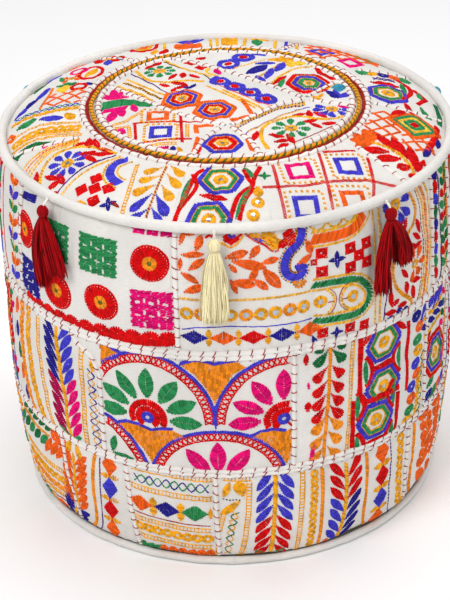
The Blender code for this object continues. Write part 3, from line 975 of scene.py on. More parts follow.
# ---------------------------------------------------------------- cloth pieces
def cloth_piece(name, chart, u, v, material, keep=None):
    """A patch of the cover from a grid of chart points."""
    rows, columns = u.shape
    fine = 0.10 * soft_noise(u.shape, (1.2, 1.2), len(name) + 11, False)
    points = chart.place(u, v, fine).reshape(-1, 3)
    faces = grid_faces(rows, columns)
    if keep is not None:
        faces = faces[keep(u.ravel()[faces].mean(1), v.ravel()[faces].mean(1))]
    used = np.unique(faces)
    renumber = np.zeros(rows * columns, int)
    renumber[used] = np.arange(len(used))
    uv = np.stack([u.ravel(), v.ravel()], 1)[used]
    return add_mesh(name, points[used], renumber[faces], [material], uv=uv)


def finish_piece(obj, body, nodes=()):
    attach(obj, body)
    if nodes:
        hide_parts(*nodes)
    return obj


CAD_ROWS = {
    "upper": ((-61.7, -13.7, 20.8, 39.5, 62.9, 140, 220), 218.0, WALL_TOP),
    "middle": ((-69, -34.1, 14.8, 30.6, 56.4, 130, 212), 102.5, 218.0),
    "lower": ((-48.4, -27.6, -4.7, 54.3, 125, 190, 255), WALL_FOOT, 102.5),
}
for row, (starts, bottom, top) in CAD_ROWS.items():
    for k, start in enumerate(starts):
        end = starts[k + 1] if k + 1 < len(starts) else starts[0] + 360
        s0, s1 = math.radians(start) * RIM, math.radians(end) * RIM
        s = np.linspace(s0, s1, int((s1 - s0) / CLOTH_STEP) + 2)
        z = np.linspace(bottom, top, int((top - bottom) / CLOTH_STEP) + 2)
        v, u = np.meshgrid(z, s, indexing="ij")
        patch = cloth_piece(f"cover_{row}_{k + 1}", wall, u, v, COTTON)
        finish_piece(patch, "pouf", [f"side_{row}_panel_{k + 1}"])

RING_STARTS = (-62, -14, 11, 47, 90, 155, 218)
for k, start in enumerate(RING_STARTS):
    end = RING_STARTS[k + 1] if k + 1 < len(RING_STARTS) else RING_STARTS[0] + 360
    a = np.radians(np.linspace(start - 90, end - 90, int((end - start) / 0.9) + 2))
    r = np.linspace(BRAID_R, 189.5, 31)
    angle, radius = np.meshgrid(a, r, indexing="ij")
    patch = cloth_piece(
        f"cover_ring_{k + 1}", crown, radius * np.cos(angle), radius * np.sin(angle), COTTON
    )
    patch.data.flip_normals()
    finish_piece(patch, "pouf", [f"top_ring_panel_{k + 1}"])


def inside(outline):
    poly = np.asarray(outline, float)
    nxt = np.roll(poly, -1, 0)

    def test(u, v):
        u, v = np.asarray(u)[..., None], np.asarray(v)[..., None]
        crossed = (poly[:, 1] > v) != (nxt[:, 1] > v)
        at = poly[:, 0] + (v - poly[:, 1]) / (nxt[:, 1] - poly[:, 1] + 1e-12) * (nxt[:, 0] - poly[:, 0])
        return (crossed & (u < at)).sum(-1) % 2 == 1

    return test


FAR = 130
MIDDLE, FRONT, CORNER, ELBOW, REAR = (-30, -18), (-22, -FAR), (66, -17), (28, -45), (-69, FAR)
CENTRE_OUTLINES = (
    ((-FAR, 84), (-FAR, -22), MIDDLE),
    ((-FAR, -22), (-FAR, -FAR), FRONT, MIDDLE),
    ((-FAR, 84), MIDDLE, FRONT, (28, -FAR), ELBOW, CORNER, REAR, (-FAR, FAR)),
    (REAR, CORNER, (FAR, -17), (FAR, FAR)),
    (CORNER, ELBOW, (28, -FAR), (FAR, -FAR), (FAR, -17)),
)
step = np.linspace(-118, 118, 100)
v, u = np.meshgrid(step, step, indexing="ij")
for k, outline in enumerate(CENTRE_OUTLINES):
    within = inside(outline)

    def kept(x, y):
        return within(x, y) & (np.hypot(x, y) < BRAID_R + 0.5)

    patch = cloth_piece(f"cover_centre_{k + 1}", crown, u, v, COTTON, kept)
    finish_piece(patch, "pouf", [f"top_centre_panel_{k + 1}"])


# ---------------------------------------------------------------- rolled and whipped seams
def roll_swell(at, pitch):
    """How full a roll is along its length: drawn in where each stitch crosses it."""
    pinch = 1 - 0.17 * (1 - np.cos(2 * math.pi * at / pitch))
    return pinch * (1 + 0.08 * np.sin(at / 7.3) + 0.05 * np.sin(at / 3.1))


def whip(stitches, rolls, chart, path, width, height, pitch, closed=False, lean=0.15):
    """A soft white roll of folded cloth along a seam, with the stitches that hold it."""
    p, d, at = along(path, 1.6, closed)
    pitch = (at[-1] + 0.8) / max(1, round(at[-1] / pitch))
    n = normals(d)
    swell = roll_swell(at + pitch / 2, pitch)
    rows = []
    for c in np.sin(np.linspace(-math.pi / 2, math.pi / 2, 9)):
        q = p + n * (c * width / 2 * (0.8 + 0.2 * swell))[:, None]
        rise = math.sqrt(1 - min(1, c * c)) * height * swell - 0.4 * (abs(c) > 0.99)
        rows.append(chart.place(q[:, 0], q[:, 1], rise))
    faces = grid_faces(len(p), len(rows), along=closed)[:, ::-1]
    rolls.put(np.stack(rows, 1).reshape(-1, 3), faces)
    q, e, _ = along(path, pitch, closed)
    across = np.linspace(-1.18, 1.18, 11)
    over = np.sqrt(np.clip(1 - (across / 1.12) ** 2, 0, 1)) * height * 0.78 + 0.25
    over[[0, -1]] = -0.3
    for c, e_k in zip(q, e):
        slant = lean * width + rng.uniform(-0.7, 0.7)
        m = np.array([-e_k[1], e_k[0]])
        line = c + m * (across * width / 2)[:, None] + e_k * (across * slant)[:, None]
        points, faces = tube(chart.place(line[:, 0], line[:, 1], over), STITCH_R, 5)
        stitches.put(points, faces)


STITCH = [THREADS[NAMES.index("brown")]]
seam_stitches, wall_rolls, upper_roll, lower_roll = Heap(), Heap(), Heap(), Heap()
whip(seam_stitches, upper_roll, wall, UPPER_ROW[:-1], 5.2, 2.8, 9.8, True, 0.25)
whip(seam_stitches, lower_roll, wall, LOWER_ROW[:-1], 5.2, 2.8, 9.8, True, 0.25)
for line in WHIPPED:
    whip(seam_stitches, wall_rolls, wall, line, 4.2, 2.2, 8.6)
finish_piece(upper_roll.mesh("upper_seam_roll", [CORDING]), "pouf", ["upper_seam_strip"])
finish_piece(lower_roll.mesh("lower_seam_roll", [CORDING]), "pouf", ["lower_seam_strip"])
finish_piece(wall_rolls.mesh("upright_seam_rolls", [CORDING]), "pouf")
finish_piece(seam_stitches.mesh("wall_seam_stitches", STITCH), "pouf")

crown_stitches, crown_rolls = Heap(), Heap()
for line in CENTRE_SEAMS + RING_SEAMS:
    whip(crown_stitches, crown_rolls, crown, line, 4.4, 2.1, 8.2)
for radius in (BRAID_R - 6.4, BRAID_R + 6.6):
    whip(crown_stitches, crown_rolls, crown, circle((0, 0), radius, 180), 5.2, 2.4, 9.0, True, 0.2)
finish_piece(crown_rolls.mesh("crown_seam_rolls", [CORDING]), "pouf")
finish_piece(crown_stitches.mesh("crown_seam_stitches", STITCH), "pouf")


# ---------------------------------------------------------------- edge cords and the braid
def edge_cord(name, radius, height, thick, node):
    """Piping: a cord wrapped in bias cloth that puckers a little."""
    count, sides = 900, 16
    a = np.linspace(0, 2 * math.pi, count, endpoint=False)
    b = np.linspace(0, 2 * math.pi, sides, endpoint=False)
    pucker = soft_noise((count, sides), (2.2, 1.6), len(name), True) * 0.12
    slow = soft_noise((count, 1), (14, 1), len(name) + 1, True) * 0.16
    r = thick + pucker + slow * 0.5
    out = radius + slow * 0.6 + r * np.cos(b)
    up = height + slow * 0.5 + r * np.sin(b)
    points = np.stack([out * np.sin(a)[:, None], -out * np.cos(a)[:, None], up], -1).reshape(-1, 3)
    faces = grid_faces(count, sides, around=True, along=True)[:, ::-1]
    uv = np.stack([np.repeat(a * radius, sides), np.tile(b * thick, count)], 1)
    return finish_piece(add_mesh(name, points, faces, [CORDING], uv=uv), "pouf", [node])


edge_cord("rim_cord", RIM, RIM_Z, 4.2, "rim_piping")
edge_cord("base_cord", 185.4, 4.0, 3.4, "base_piping")

turns = 116
t = np.linspace(0, 2 * math.pi, turns * 10, endpoint=False)
ragged = soft_noise((len(t), 2), (9, 0.4), 33, True) * 0.35
braid = Heap()
for k, colour in enumerate(("gold", "olive", "amber")):
    phase = k * math.pi * 2 / 3
    r = BRAID_R - 0.8 + 1.15 * np.cos(turns * t + phase) + ragged[:, 0]
    x, y = r * np.sin(t), -r * np.cos(t)
    lift = 2.2 + 1.0 * np.sin(turns * t + phase) + 0.5 * ragged[:, 1]
    points, faces = tube(crown.place(x, y, lift), 0.86, 6, closed=True)
    braid.put(points, faces, NAMES.index(colour), rng.uniform(0.1, 0.9, len(points)))
finish_piece(braid.mesh("braid", THREADS), "pouf", ["braid_ring"])
lace = Embroidery(crown)
ring_path = circle((0, 0), BRAID_R + 3.2, 160, 0, 359)
lace.level = 0.9
lace.crosses(ring_path, "brown", 3.2, 2.5)
finish_piece(lace.mesh("braid_lace"), "pouf")


# ---------------------------------------------------------------- patterns that fill a box
HEX_RINGS = (("blue", 4.2), ("green", 3.6))


def fans(e, x0, x1, z0, z1, hues=("green", "magenta")):
    tiers = max(1, round((z1 - z0) / 54))
    tall = (z1 - z0) / tiers - 3
    columns = max(1, round((x1 - x0) / (tall * 1.75)))
    across = (x1 - x0) / columns / 2 - 4
    for tier in range(tiers):
        for k in range(columns):
            c = (x0 + (2 * k + 1) * (x1 - x0) / columns / 2, z0 + 3 + tier * (tall + 3))
            e.fan(c, across, tall - 5, hues[(k + tier) % 2], range(0, 181, 30), across * 0.3,
                min(across, tall) * 0.8)


def feathers(e, x0, x1, z0, z1, hues=("blue", "red", "green")):
    x = x0 + 20
    while x < x1 - 12:
        lean = 5 * math.sin(x)
        stem = curve([(x + lean, z0 + 3), (x, (z0 + z1) / 2), (x - lean, z1 - 10)])
        e.feather(stem, 15, ((0.33, hues[2]), (0.66, hues[1]), (1.0, hues[0])))
        if x + 22 < x1 - 3:
            e.beads([(x + 22, z0 + 4), (x + 22, z1 - 4)], "gold")
            e.line([(x + 27, z0 + 3), (x + 27, z1 - 3)], "yellow", 1.2)
        x += 44


def hexagons(e, x0, x1, z0, z1, rings=HEX_RINGS):
    wide, row = 46.0, 40.0
    e.line([(x0 + 5, z0 + 2), (x0 + 5, z1 - 2)], "red", 2.2, 3.0)
    e.line([(x1 - 5, z0 + 2), (x1 - 5, z1 - 2)], "red", 2.2, 3.0)
    k = 0
    x = x0 + 5 + wide / 2
    while x < x1 - wide / 2 + 4:
        z = z0 + 22 + (k % 2) * 8
        while z < z1 - 14:
            e.medallion((x, z), 20, rings)
            e.leaf((x - 11, z + 22.5), (x + 11, z + 22.5), 5.5, "red", fat=0.5)
            for s in (-1, 1):
                e.band(circle((x + s * 25, z + 20), 11, 12, 90 if s > 0 else -90, 270 if s > 0 else 90), 3,
                    "red")
                e.leaf((x + s * 21, z + 12), (x + s * 21, z + 28), 5, "green", fat=0.5)
            z += row + 5
        k += 1
        x += wide


def squares(e, x0, x1, z0, z1, hues=("magenta", "blue", "orange"), cell=38.0):
    columns, rows = max(1, round((x1 - x0) / cell)), max(1, round((z1 - z0) / cell))
    cw, ch = (x1 - x0) / columns, (z1 - z0) / rows
    for i in range(columns):
        for j in range(rows):
            c = (x0 + (i + 0.5) * cw, z0 + (j + 0.5) * ch)
            e.hollow_square(c, 9.5, 4.5, hues[(i + 2 * j) % len(hues)])
            e.dotted_frame(c, 14.0)
    for i in range(1, columns):
        e.crosses([(x0 + i * cw, z0 + 2), (x0 + i * cw, z1 - 2)])
    for j in range(1, rows):
        e.crosses([(x0 + 2, z0 + j * ch), (x1 - 2, z0 + j * ch)])


def poppies(e, x0, x1, z0, z1, hues=("green", "magenta", "blue")):
    columns, rows = max(1, round((x1 - x0) / 38)), max(1, round((z1 - z0) / 37))
    for k in range(columns):
        for j in range(rows):
            x, z = x0 + (k + 0.5) * (x1 - x0) / columns, z0 + (j + 0.5) * (z1 - z0) / rows
            if (j + k) % 2:
                e.poppy((x, z), 15.0)
            else:
                e.woven((x - 14, z - 14), 28, 28, hues[(k + j) % 3])


def stripes(e, x0, x1, z0, z1):
    z = z0 + 6
    for kind in range(12):
        if z > z1 - 5:
            break
        line = [(x0 + 4, z), (x1 - 4, z)]
        if kind % 6 == 0:
            e.ladder(line)
            z += 9
        elif kind % 6 == 1:
            e.beads(line)
            z += 11
        elif kind % 6 == 2:
            e.line(line, "brown", 1.4)
            z += 12
        elif kind % 6 == 3:
            e.lozenges(line, ("green", "orange", "blue"), (10, 6.5), 23)
            z += 13
        elif kind % 6 == 4:
            e.ladder(line)
            z += 10
        else:
            e.interlace(line, "blue", "green", 3.6, 14)
            z += 10


def scrolls(e, x0, x1, z0, z1, hues=("blue", "orange", "red")):
    """Flowers in the bends of a golden vine, with sprays of small leaves."""
    z, k = z0 + 20, 0
    wide = x1 - x0
    vine = [(x0 + wide * (0.5 + 0.32 * math.sin(t * 0.775)),
        z0 + 4 + t * (z1 - z0 - 8) / 12) for t in range(13)]
    vine = curve(vine)
    for bud, (along_x, up_z) in enumerate(vine[4::7]):
        for side in (-1, 1):
            hue = ("green", "red", "magenta")[bud % 3]
            e.leaf((along_x + side * 3, up_z), (along_x + side * 14, up_z + 7), 5.5, hue)
    e.rope(vine, GILT, 2.8)
    e.line(vine, "blue", 0.8, 3, 1.5, shift=2.6)
    while z < z1 - 10:
        side = 1 if k % 2 else -1
        c = (x0 + wide * (0.5 - 0.2 * side), z)
        e.flower(c, 14, hues[k % len(hues)], 8)
        base = (x0 + wide * (0.5 + 0.34 * side), z - 12)
        e.spray([base, (base[0] - side * 3, z + 14)], "red", 8, 3.2, 6.5, 40)
        z += 34
        k += 1
    for x in (x0 + 5, x1 - 5):
        e.line([(x, z0 + 3), (x, z1 - 3)], "purple", 0.9, 4, 0.6)


def branches(e, x0, x1, z0, z1, hues=("orange", "blue")):
    x, k = x0 + 18, 0
    while x < x1 - 8:
        stem = curve([(x - 4, z0 + 4), (x + 5, (z0 + z1) / 2), (x - 2, z1 - 10)])
        e.spray(stem, hues[k % len(hues)], 16, 7.6, 11.5, 42, stem="gold")
        if x + 20 < x1:
            e.ladder([(x + 18.5, z0 + 3), (x + 18.5, z1 - 3)])
        x += 36
        k += 1


def shisha_rows(e, x0, x1, z0, z1):
    z = z0 + 10
    k = 0
    while z < z1 - 5:
        if k % 3 == 0:
            for x in np.arange(x0 + 10, x1 - 6, 11.7):
                e.shisha((x, z))
            z += 12
        elif k % 3 == 1:
            e.line([(x0 + 4, z), (x1 - 4, z)], "purple", 1.0)
            z += 11
        else:
            e.lozenges([(x0 + 4, z), (x1 - 4, z)], ("blue", "orange", "red"), (11, 5.5), 23.5)
            z += 15
        k += 1


# ---------------------------------------------------------------- wall, upper row
up = Embroidery(wall, lambda u, v: (v < 325.5) & (v > row_z(UPPER_ROW, u) + 2.5))
up.spray([(-224, 222), (-224, 322)], ("blue", "orange", "green"), 12, 6, 12, 40, stem="gold")
for c, radius in (((-199, 287), 16), ((-153, 250), 17), ((-106, 255), 16), ((-63, 298), 16)):
    up.poppy(c, radius)
for x in (-150, -107):
    up.poppy((x, 339), 16.0)
up.woven((-209, 229), 30, 33, "navy", 0.08)
up.woven((-170, 280), 32, 32, "green")
up.woven((-126, 280), 35, 33, "green")
up.woven((-79, 240), 34, 34, "magenta")
up.woven((-78, 322), 34, 10, "magenta")
up.satin([(-208, 312), (-205, 319), (-182, 324), (-182, 317)], 12, "navy")
low_edge = [(-203, 218.5), (-150, 220), (-100, 222.5), (-50, 228)]
up.band(low_edge, 7.5, "red", slant=0.1, step=1.4)
for k in range(11):
    x = -195 + k * 14.6
    up.disc((x, 221.5 + 0.064 * (x + 203)), 8.2, "red", inner=0.5, squash=0.85)

# Peacock-feather scroll over a spray of orange leaves
up.leaves(((-39, 316, -35, 327, 4.5), (-36, 325, -24, 327, 4), (-26, 312, -21, 325, 7),
    (-38, 308, -19, 310, 5.5), (-32, 295, -19, 306, 6.5), (-39, 294, -38, 305, 4), (-38, 293, -24, 285, 5.5),
    (-36, 276, -18, 283, 7), (-3, 307, 15, 312, 7.5), (2, 305, 29, 297, 8.5), (16, 306, 24, 316, 6.5),
    (25, 301, 39, 304, 6), (0, 302, 6, 295, 4.5), (2, 287, 20, 283, 8.5), (15, 285, 22, 297, 6),
    (19, 288, 30, 278, 6.5), (26, 297, 40, 278, 9.5), (1, 289, 6, 276, 4.5), (62, 316, 67, 302, 6.5),
    (54, 296, 67, 301, 6), (-16, 296, -10, 306, 6), (-14, 280, -8, 290, 6)), "orange", fat=0.5)
up.satin([(-21, 328), (-19, 323), (-12, 324), (-8, 328)], 30, "red")
up.satin([(-5, 328), (-4, 321), (2, 317.5), (8, 321), (12, 328)], 30, "red")
up.disc((3, 326), 3.5, "blue", inner=1.2)
up.rope(curve([(-6, 320), (2, 316), (9, 321), (14, 328)]), ("gold",), 1.8)
wing = [(13, 328), (20, 322), (29, 317), (35, 311.5), (39, 312), (40, 319), (36, 326), (30, 328)]
up.satin(wing, 150, "gold", longest=5)
up.satin([(17, 323.5), (24, 322.5), (31, 317.5), (27, 318)], 150, "blue")
up.rope(curve([(14, 326), (22, 322), (31, 321), (35, 314)]), ("red",), 1.6)
up.rope(curve(wing[:5]), ("red",), 1.6, shift=-1.2)
up.satin([(38, 311.5), (46, 312.5), (53, 315.5), (54, 322), (50, 328), (41, 328), (44, 321), (39, 318)], 30,
    "red")
up.rope([(40, 319), (54, 316)], ("gold",), 1.4)
tail = curve([(58, 330), (59, 322), (55, 314), (48, 308), (44.5, 302), (43.5, 295), (46, 288), (52, 284.5),
    (58, 286.5), (60, 291), (56, 294), (53.5, 291)])
up.band(tail, 6.4, "blue", slant=0.5, step=1.2)
up.rope(tail, ("amber", "black"), 1.3, shift=4.3)
up.rope(tail[:-9], ("amber", "black"), 1.3, shift=-4.3)
for a in range(180, 361, 26):
    up.leaf(np.array([56, 281]) + heading(a), np.array([56, 281]) + heading(a) * 6.5, 3.0, "amber")
up.rope([(-40, 270), (10, 270.5), (66, 270)], GILT, 2.0)
for k in range(9):
    up.shisha((-34 + k * 11.6, 257 + 0.4 * math.sin(k)), 5.7, 2.3, "amber" if k % 3 == 1 else "gold")
up.line([(-38, 242), (-28, 245), (0, 247), (30, 245), (66, 244.5)], "blue", 1.2, 4)
up.lozenges([(-40, 236), (76, 235)], ("navy", "orange", "red", "navy", "orange"), (11, 6.6), 23.6)

# Arches, small checked crosses and a green-banded tongue
for x in (73, 88, 103):
    up.rope(circle((x, 329), 7.5, 16, 180, 360), GILT, 1.8)
outer = curve([(67, 314), (92, 314), (104, 316), (113, 322), (119, 331)])
up.band(outer, 8.5, "orange", slant=0.5)
up.rope(outer, ("yellow", "gold"), 2.2, shift=6.0)
up.rope(outer, ("yellow", "gold"), 2.2, shift=-6.0)
up.checker((75, 293), ((0, 8), (0, -8)), 9.5)
up.checker((68.5, 294), ((0, 0),), 5)
up.checker((108, 291.5), ((-8, 8.5), (8, 8), (0, 0), (-8, -8.5), (8, -8.5)), 9.5)
up.star((88, 293), 7.5, "navy")
tongue = curve([(67, 274), (90, 273), (105, 270.5), (113, 265), (119, 256), (118, 248), (112, 241.5),
    (104, 239.5), (90, 240), (67, 241.5)])
up.band(tongue, 5.6, "leaf", slant=0.9, step=2.6)
up.band(tongue, 5.6, "green", slant=0.9, step=2.6, rise=1.05)
up.rope(tongue, GILT, 1.9, shift=4.9)
up.rope(tongue, GILT, 1.9, shift=-4.9)
up.shisha((73.5, 258), 5.8, 2.3)
up.shisha((102, 256), 5.4, 2.2)
for x, first, last in ((73.5, -62, 62), (103, 55, 305)):
    up.rope(circle((x, 257), 11.6, 24, first, last), GILT, 1.9)
    up.line(circle((x, 257), 13.6, 24, first, last), "brown", 0.9, 3)
up.line([(80, 256), (86, 256)], "brown", 1.2, 3)
up.line([(91, 256), (97, 256)], "brown", 1.2, 3)
up.checker((75, 229), ((0, 0), (24, -1), (38, -3)), 9.0)
up.star((87, 227), 5.5, "navy")
up.satin([(66, 229), (71, 223), (66, 222)], 40, "navy")
up.rope([(125, 222), (126, 250), (125, 325)], GILT, 1.8)

# Flowers on a winding golden vine
up.rope([(130, 222), (131, 262), (131, 325)], GILT, 1.8)
up.line([(134, 222), (137, 245), (139, 270), (139, 325)], "purple", 1.3, 4)
up.petals((150, 321), 5.6, "blue", ((167, 323), (165, 308), (156, 303), (141, 310), (136, 322)), 7.5)
vine = curve([(168, 328), (172, 316), (173, 305), (169, 296), (160, 290), (152, 285), (147, 278), (143, 266),
    (146, 250), (153, 240), (161, 233), (167, 227), (171, 219)])
up.rope(vine, ("gold", "amber"), 3.2)
up.petals((170, 260), 4.4, "orange", ((157, 273), (166, 276), (179, 273), (185, 259), (178, 248), (166, 245)),
    7)
up.leaves(((138, 301, 160, 304, 4.5, "red"), (161, 306, 157, 292, 4.5, "red"),
    (141, 288, 150, 299, 4.5, "red"), (174, 299, 179, 285, 5.5, "red"), (168, 289, 178, 280, 5, "red"),
    (152, 282, 171, 278, 5, "red"), (166, 275, 180, 277, 5, "red"), (158, 249, 161, 236, 5.5, "red"),
    (165, 246, 179, 243, 5, "red"), (167, 241, 172, 226, 6, "red"), (140, 248, 142, 232, 5.5, "red"),
    (142, 231, 150, 236, 5, "red"), (135, 227, 148, 225, 5.5, "red"), (149, 229, 162, 227, 5, "red"),
    (153, 262, 160, 252, 5, "red"), (138, 221, 146, 221, 3, "navy")))
up.disc((152, 224), 3.6, "navy")
up.leaf((156, 221), (164, 222), 3.5, "navy")
for path, colours, wide in (
    ([(178, 328), (185, 300), (187, 262), (182, 221)], GILT, 2.2),
    ([(183, 328), (190, 300), (192, 262), (187, 221)], ("amber", "orange", "gold"), 4.4),
    ([(190, 328), (196, 300), (198, 262), (193, 221)], GILT, 2.0),
):
    up.rope(curve(path), colours, wide)
up.line(curve([(175, 328), (181, 300), (183, 262), (178, 221)]), "brown", 0.9, 3, 0.8)
for k, hue in enumerate(("navy", "red", "blue", "leaf", "navy", "red", "blue", "green", "red")):
    up.leaf((212 - k % 2 * 2, 318 - k * 11.5), (209 + k % 2, 330 - k * 11.5), 7.5, hue, split=False)
up.rope(curve([(216, 328), (218, 290), (222, 255), (220, 221)]), ("purple", "black"), 2.4)
up.spray([(230, 224), (229, 322)], ("green", "red", "leaf", "green", "red"), 13, 7, 11, 42, stem="gold")
up.rope([(241, 222), (241, 325)], ("gold", "orange"), 2.4)
RECIPES_UP = (hexagons, poppies, scrolls, squares, shisha_rows, branches, fans)
starts = UPPER_BACK + [ROUND - 240]
for k, (x0, x1) in enumerate(zip(starts[:-1], starts[1:])):
    RECIPES_UP[k % len(RECIPES_UP)](up, x0 + 5, x1 - 5, 222, 324)

# ---------------------------------------------------------------- wall, middle row
mid = Embroidery(wall, lambda u, v: (v > row_z(LOWER_ROW, u) + 3) & (v < row_z(UPPER_ROW, u) - 3))
mid.beads([(-186, 108), (-197, 150), (-201, 180), (-200, 213)], "gold", "orange", 7.2, 4.3)
mid.beads([(-203, 108), (-212, 150), (-214, 180), (-212, 213)], "amber", "gold", 7.6, 4.0)
for c, hue in (((-224, 203), "orange"), ((-224, 180), "navy"), ((-221, 160), "leaf"), ((-218, 140), "orange"),
        ((-214, 120), "navy")):
    mid.leaf((c[0], c[1] - 8), (c[0] + 1, c[1] + 8), 7, hue, split=False)
mid.ladder([(-173, 107), (-179, 150), (-183, 180), (-184, 211)], width=5.6)
mid.feather([(-149, 108), (-152, 140), (-155, 175), (-158, 214)], 16.5, ((0.52, "magenta"), (1.0, "blue")),
    11, 8.4, dark=1)
mid.leaves(((-150, 107, -163, 113, 5), (-148, 105, -136, 111, 5)), "green")
mid.ladder([(-130, 105), (-131, 150), (-131, 203)], width=5.6)
mid.interlace([(-119, 105), (-121, 150), (-122, 188)], "navy", "gold", 3.4, 13, 1.3)
mid.leaf((-120, 184), (-121, 195), 4, "gold")

# Two big fans, a third between them, amber spandrels with blue outlines
PETALS = (0, 28, 57, 90, 123, 152, 180)
fans_left = Embroidery(wall, lambda u, v: mid.keep(u, v) & (u < 47.5) & (u > -110) & (v > 147))
fans_left.fan((-69, 154), 51, 56, "green", PETALS)
fans_left.fan((42, 154), 51, 56, "magenta", (90, 123, 152, 180), first=70)
low = Embroidery(wall, lambda u, v: mid.keep(u, v) & (u < 48) & (u > -110))
low.fan((-12, 92), 51, 50, "magenta", (0, 55, 90, 125, 180), 11, 42, 13.5, 12, 168, False)
low.lattice_band(circle((-125, 94), 49, 30, 12, 70), 7.0, "red")
low.band(circle((-125, 94), 54.2, 30, 14, 74), 2.6, "blue", slant=1.0)
low.leaves(((-104, 110, -100, 127, 7), (-104, 109, -84, 108, 4.5)), "green")
low.line([(-13, 173), (-13, 150)], "blue", 1.8, 3)
SPANDRELS = ([(-40, 209), (-30, 213), (-22, 213), (-13, 210), (-5, 212), (4, 213), (12, 208), (2, 202),
    (-5, 191), (-13, 175), (-21, 191), (-29, 202)], [(-97, 140), (-88, 144), (-78, 144), (-67, 141),
    (-57, 144), (-48, 145), (-38, 140), (-50, 134), (-59, 124), (-67, 109), (-75, 123), (-85, 133)],
    [(14, 140), (24, 144), (34, 144), (43, 141), (49, 143), (49, 116), (44, 109), (36, 123), (26, 133)],
    [(-114, 213), (-104, 214), (-92, 210), (-101, 204), (-108, 196), (-114, 186)])
for points in SPANDRELS:
    low.satin(points, 84, "amber", longest=4.2)
    low.band(points[:6] if len(points) > 9 else points[:4], 2.4, "blue", slant=1.0, shift=1.2)
for a, b, wide, hue in ((-110, -86, 4, "leaf"), (-79, -63, 5, "red"), (-47, -28, 4.5, "magenta"),
        (-34, 2, 5.5, "red"), (4, 26, 5, "magenta"), (31, 46, 5, "red")):
    low.leaf((a, 217.5), (b, 217), wide, hue, split=False)
low.satin([(-19, 219), (-10, 219), (-12, 216), (-17, 216)], 0, "blue")

# Narrow strip, then a vine of hanging drops
mid.leaves(((61, 201, 61, 212, 5.0, "red"), (62, 156, 63, 165, 6.0, "red"),
    (64, 103, 68, 126, 4.0, "magenta"), (63, 178, 63, 184, 2.5, "magenta")))
stem = curve([(77, 100), (77, 128), (80, 160), (82, 219)])
mid.band(stem, 2.6, "amber", slant=1.1)
mid.line(stem, "black", 0.9, 1.2, 1.9)
for k, (z, hue) in enumerate(((219, "leaf"), (206, "leaf"), (191, "red"), (177, "red"), (164, "red"),
        (152, "red"), (141, "amber"), (127, "amber"), (112, "amber"))):
    x = float(np.interp(z, (100, 160, 219), (77, 80, 82)))
    for sign in (-1, 1):
        mid.drop((x + sign * 1.4, z + 6), (x + sign * 12.5, z - 8), 9.4, hue)
mid.ladder([(98, 104), (101, 150), (103, 214)], "gold", 4.0)

# Hexagons framed in red
def framed_hexagon(e, c, arcs=(22, -22), radius=20.5):
    """A hexagon between pairs of red arcs that hold green crescents."""
    e.medallion(c, radius, HEX_RINGS)
    for rise in arcs:
        if rise < 0:
            e.leaf((c[0] - radius * 0.68, c[1] + rise), (c[0] + radius * 0.68, c[1] + rise), 6.5, "red",
                fat=0.5)
        for s in (-1, 1):
            q = (c[0] + s * radius * 1.42, c[1] + rise)
            e.band(circle(q, radius * 0.83, 16, 125 if s > 0 else -55, 235 if s > 0 else 55), 4.2, "red")
            e.leaf((c[0] + s * radius * 0.92, q[1] - 12), (c[0] + s * radius * 0.92, q[1] + 12), 4.5, "green",
                fat=0.5, split=False)


framed_hexagon(mid, (134.5, 201), (-22,))
framed_hexagon(mid, (134, 159), ())
mid.level = 0.35
mid.satin([(112, 153), (152, 153), (152, 147), (112, 147)], 90, "red")
framed_hexagon(mid, (126.5, 128), (-22, 19), 20)
mid.level = 0.0
mid.medallion((126, 86), 20.5, HEX_RINGS)
for path, width in (([(110, 216), (110, 150)], 4.6), ([(104, 154), (104, 104)], 4.4),
        ([(164, 208), (163, 140)], 4.0), ([(151, 145), (150, 104)], 4.4)):
    mid.band(path, width, "red", slant=0.1)
mid.leaves(((148, 214, 161, 203, 5.5), (112, 206, 120, 216, 5.5)), "red")
for x, z, hue in ((176, 207, "navy"), (181, 195, "orange"), (178, 183, "green"), (180, 172, "gold"),
        (177, 160, "blue"), (179, 149, "orange"), (172, 139, "blue"), (171, 128, "orange"),
        (169, 117, "green"), (167, 107, "gold")):
    mid.disc((x, z), 6.8, hue, inner=1.6, squash=0.78)
mid.interlace([(184, 104), (187, 140), (190, 168)], "leaf", "yellow", 3.0, 11, 1.5)
mid.beads([(178, 104), (181, 130), (184, 150)], "gold", "yellow", 7, 3)
mid.feather([(182, 195), (204, 199), (226, 203)], 14, ((1.0, "blue"),), 10, 7.5, dark=-1)
mid.rope([(190, 178), (205, 180), (226, 184)], GILT, 3.6)
mid.medallion((216, 150), 24, (("red", 4.2), ("blue", 4.0), ("green", 3.4)))
for c, hue in (((204, 112), "navy"), ((213, 112), "green"), ((221, 114), "orange"), ((230, 116), "blue"),
        ((200, 172), "red"), ((206, 126), "green")):
    mid.leaf((c[0] - 5, c[1] - 6), (c[0] + 4, c[1] + 6), 7, hue)
mid.rope([(240, 106), (241, 213)], ("gold", "orange"), 2.4)
mid.spray([(234, 120), (234, 205)], ("green", "magenta", "leaf"), 10, 6, 11, 42, sides=(1,))
RECIPES_MID = (scrolls, squares, feathers, fans, hexagons, stripes, poppies)
starts = MIDDLE_BACK + [ROUND - 232]
for k, (x0, x1) in enumerate(zip(starts[:-1], starts[1:])):
    if x1 - x0 > 30:
        RECIPES_MID[k % len(RECIPES_MID)](mid, x0 + 5, x1 - 5, 107, 213)

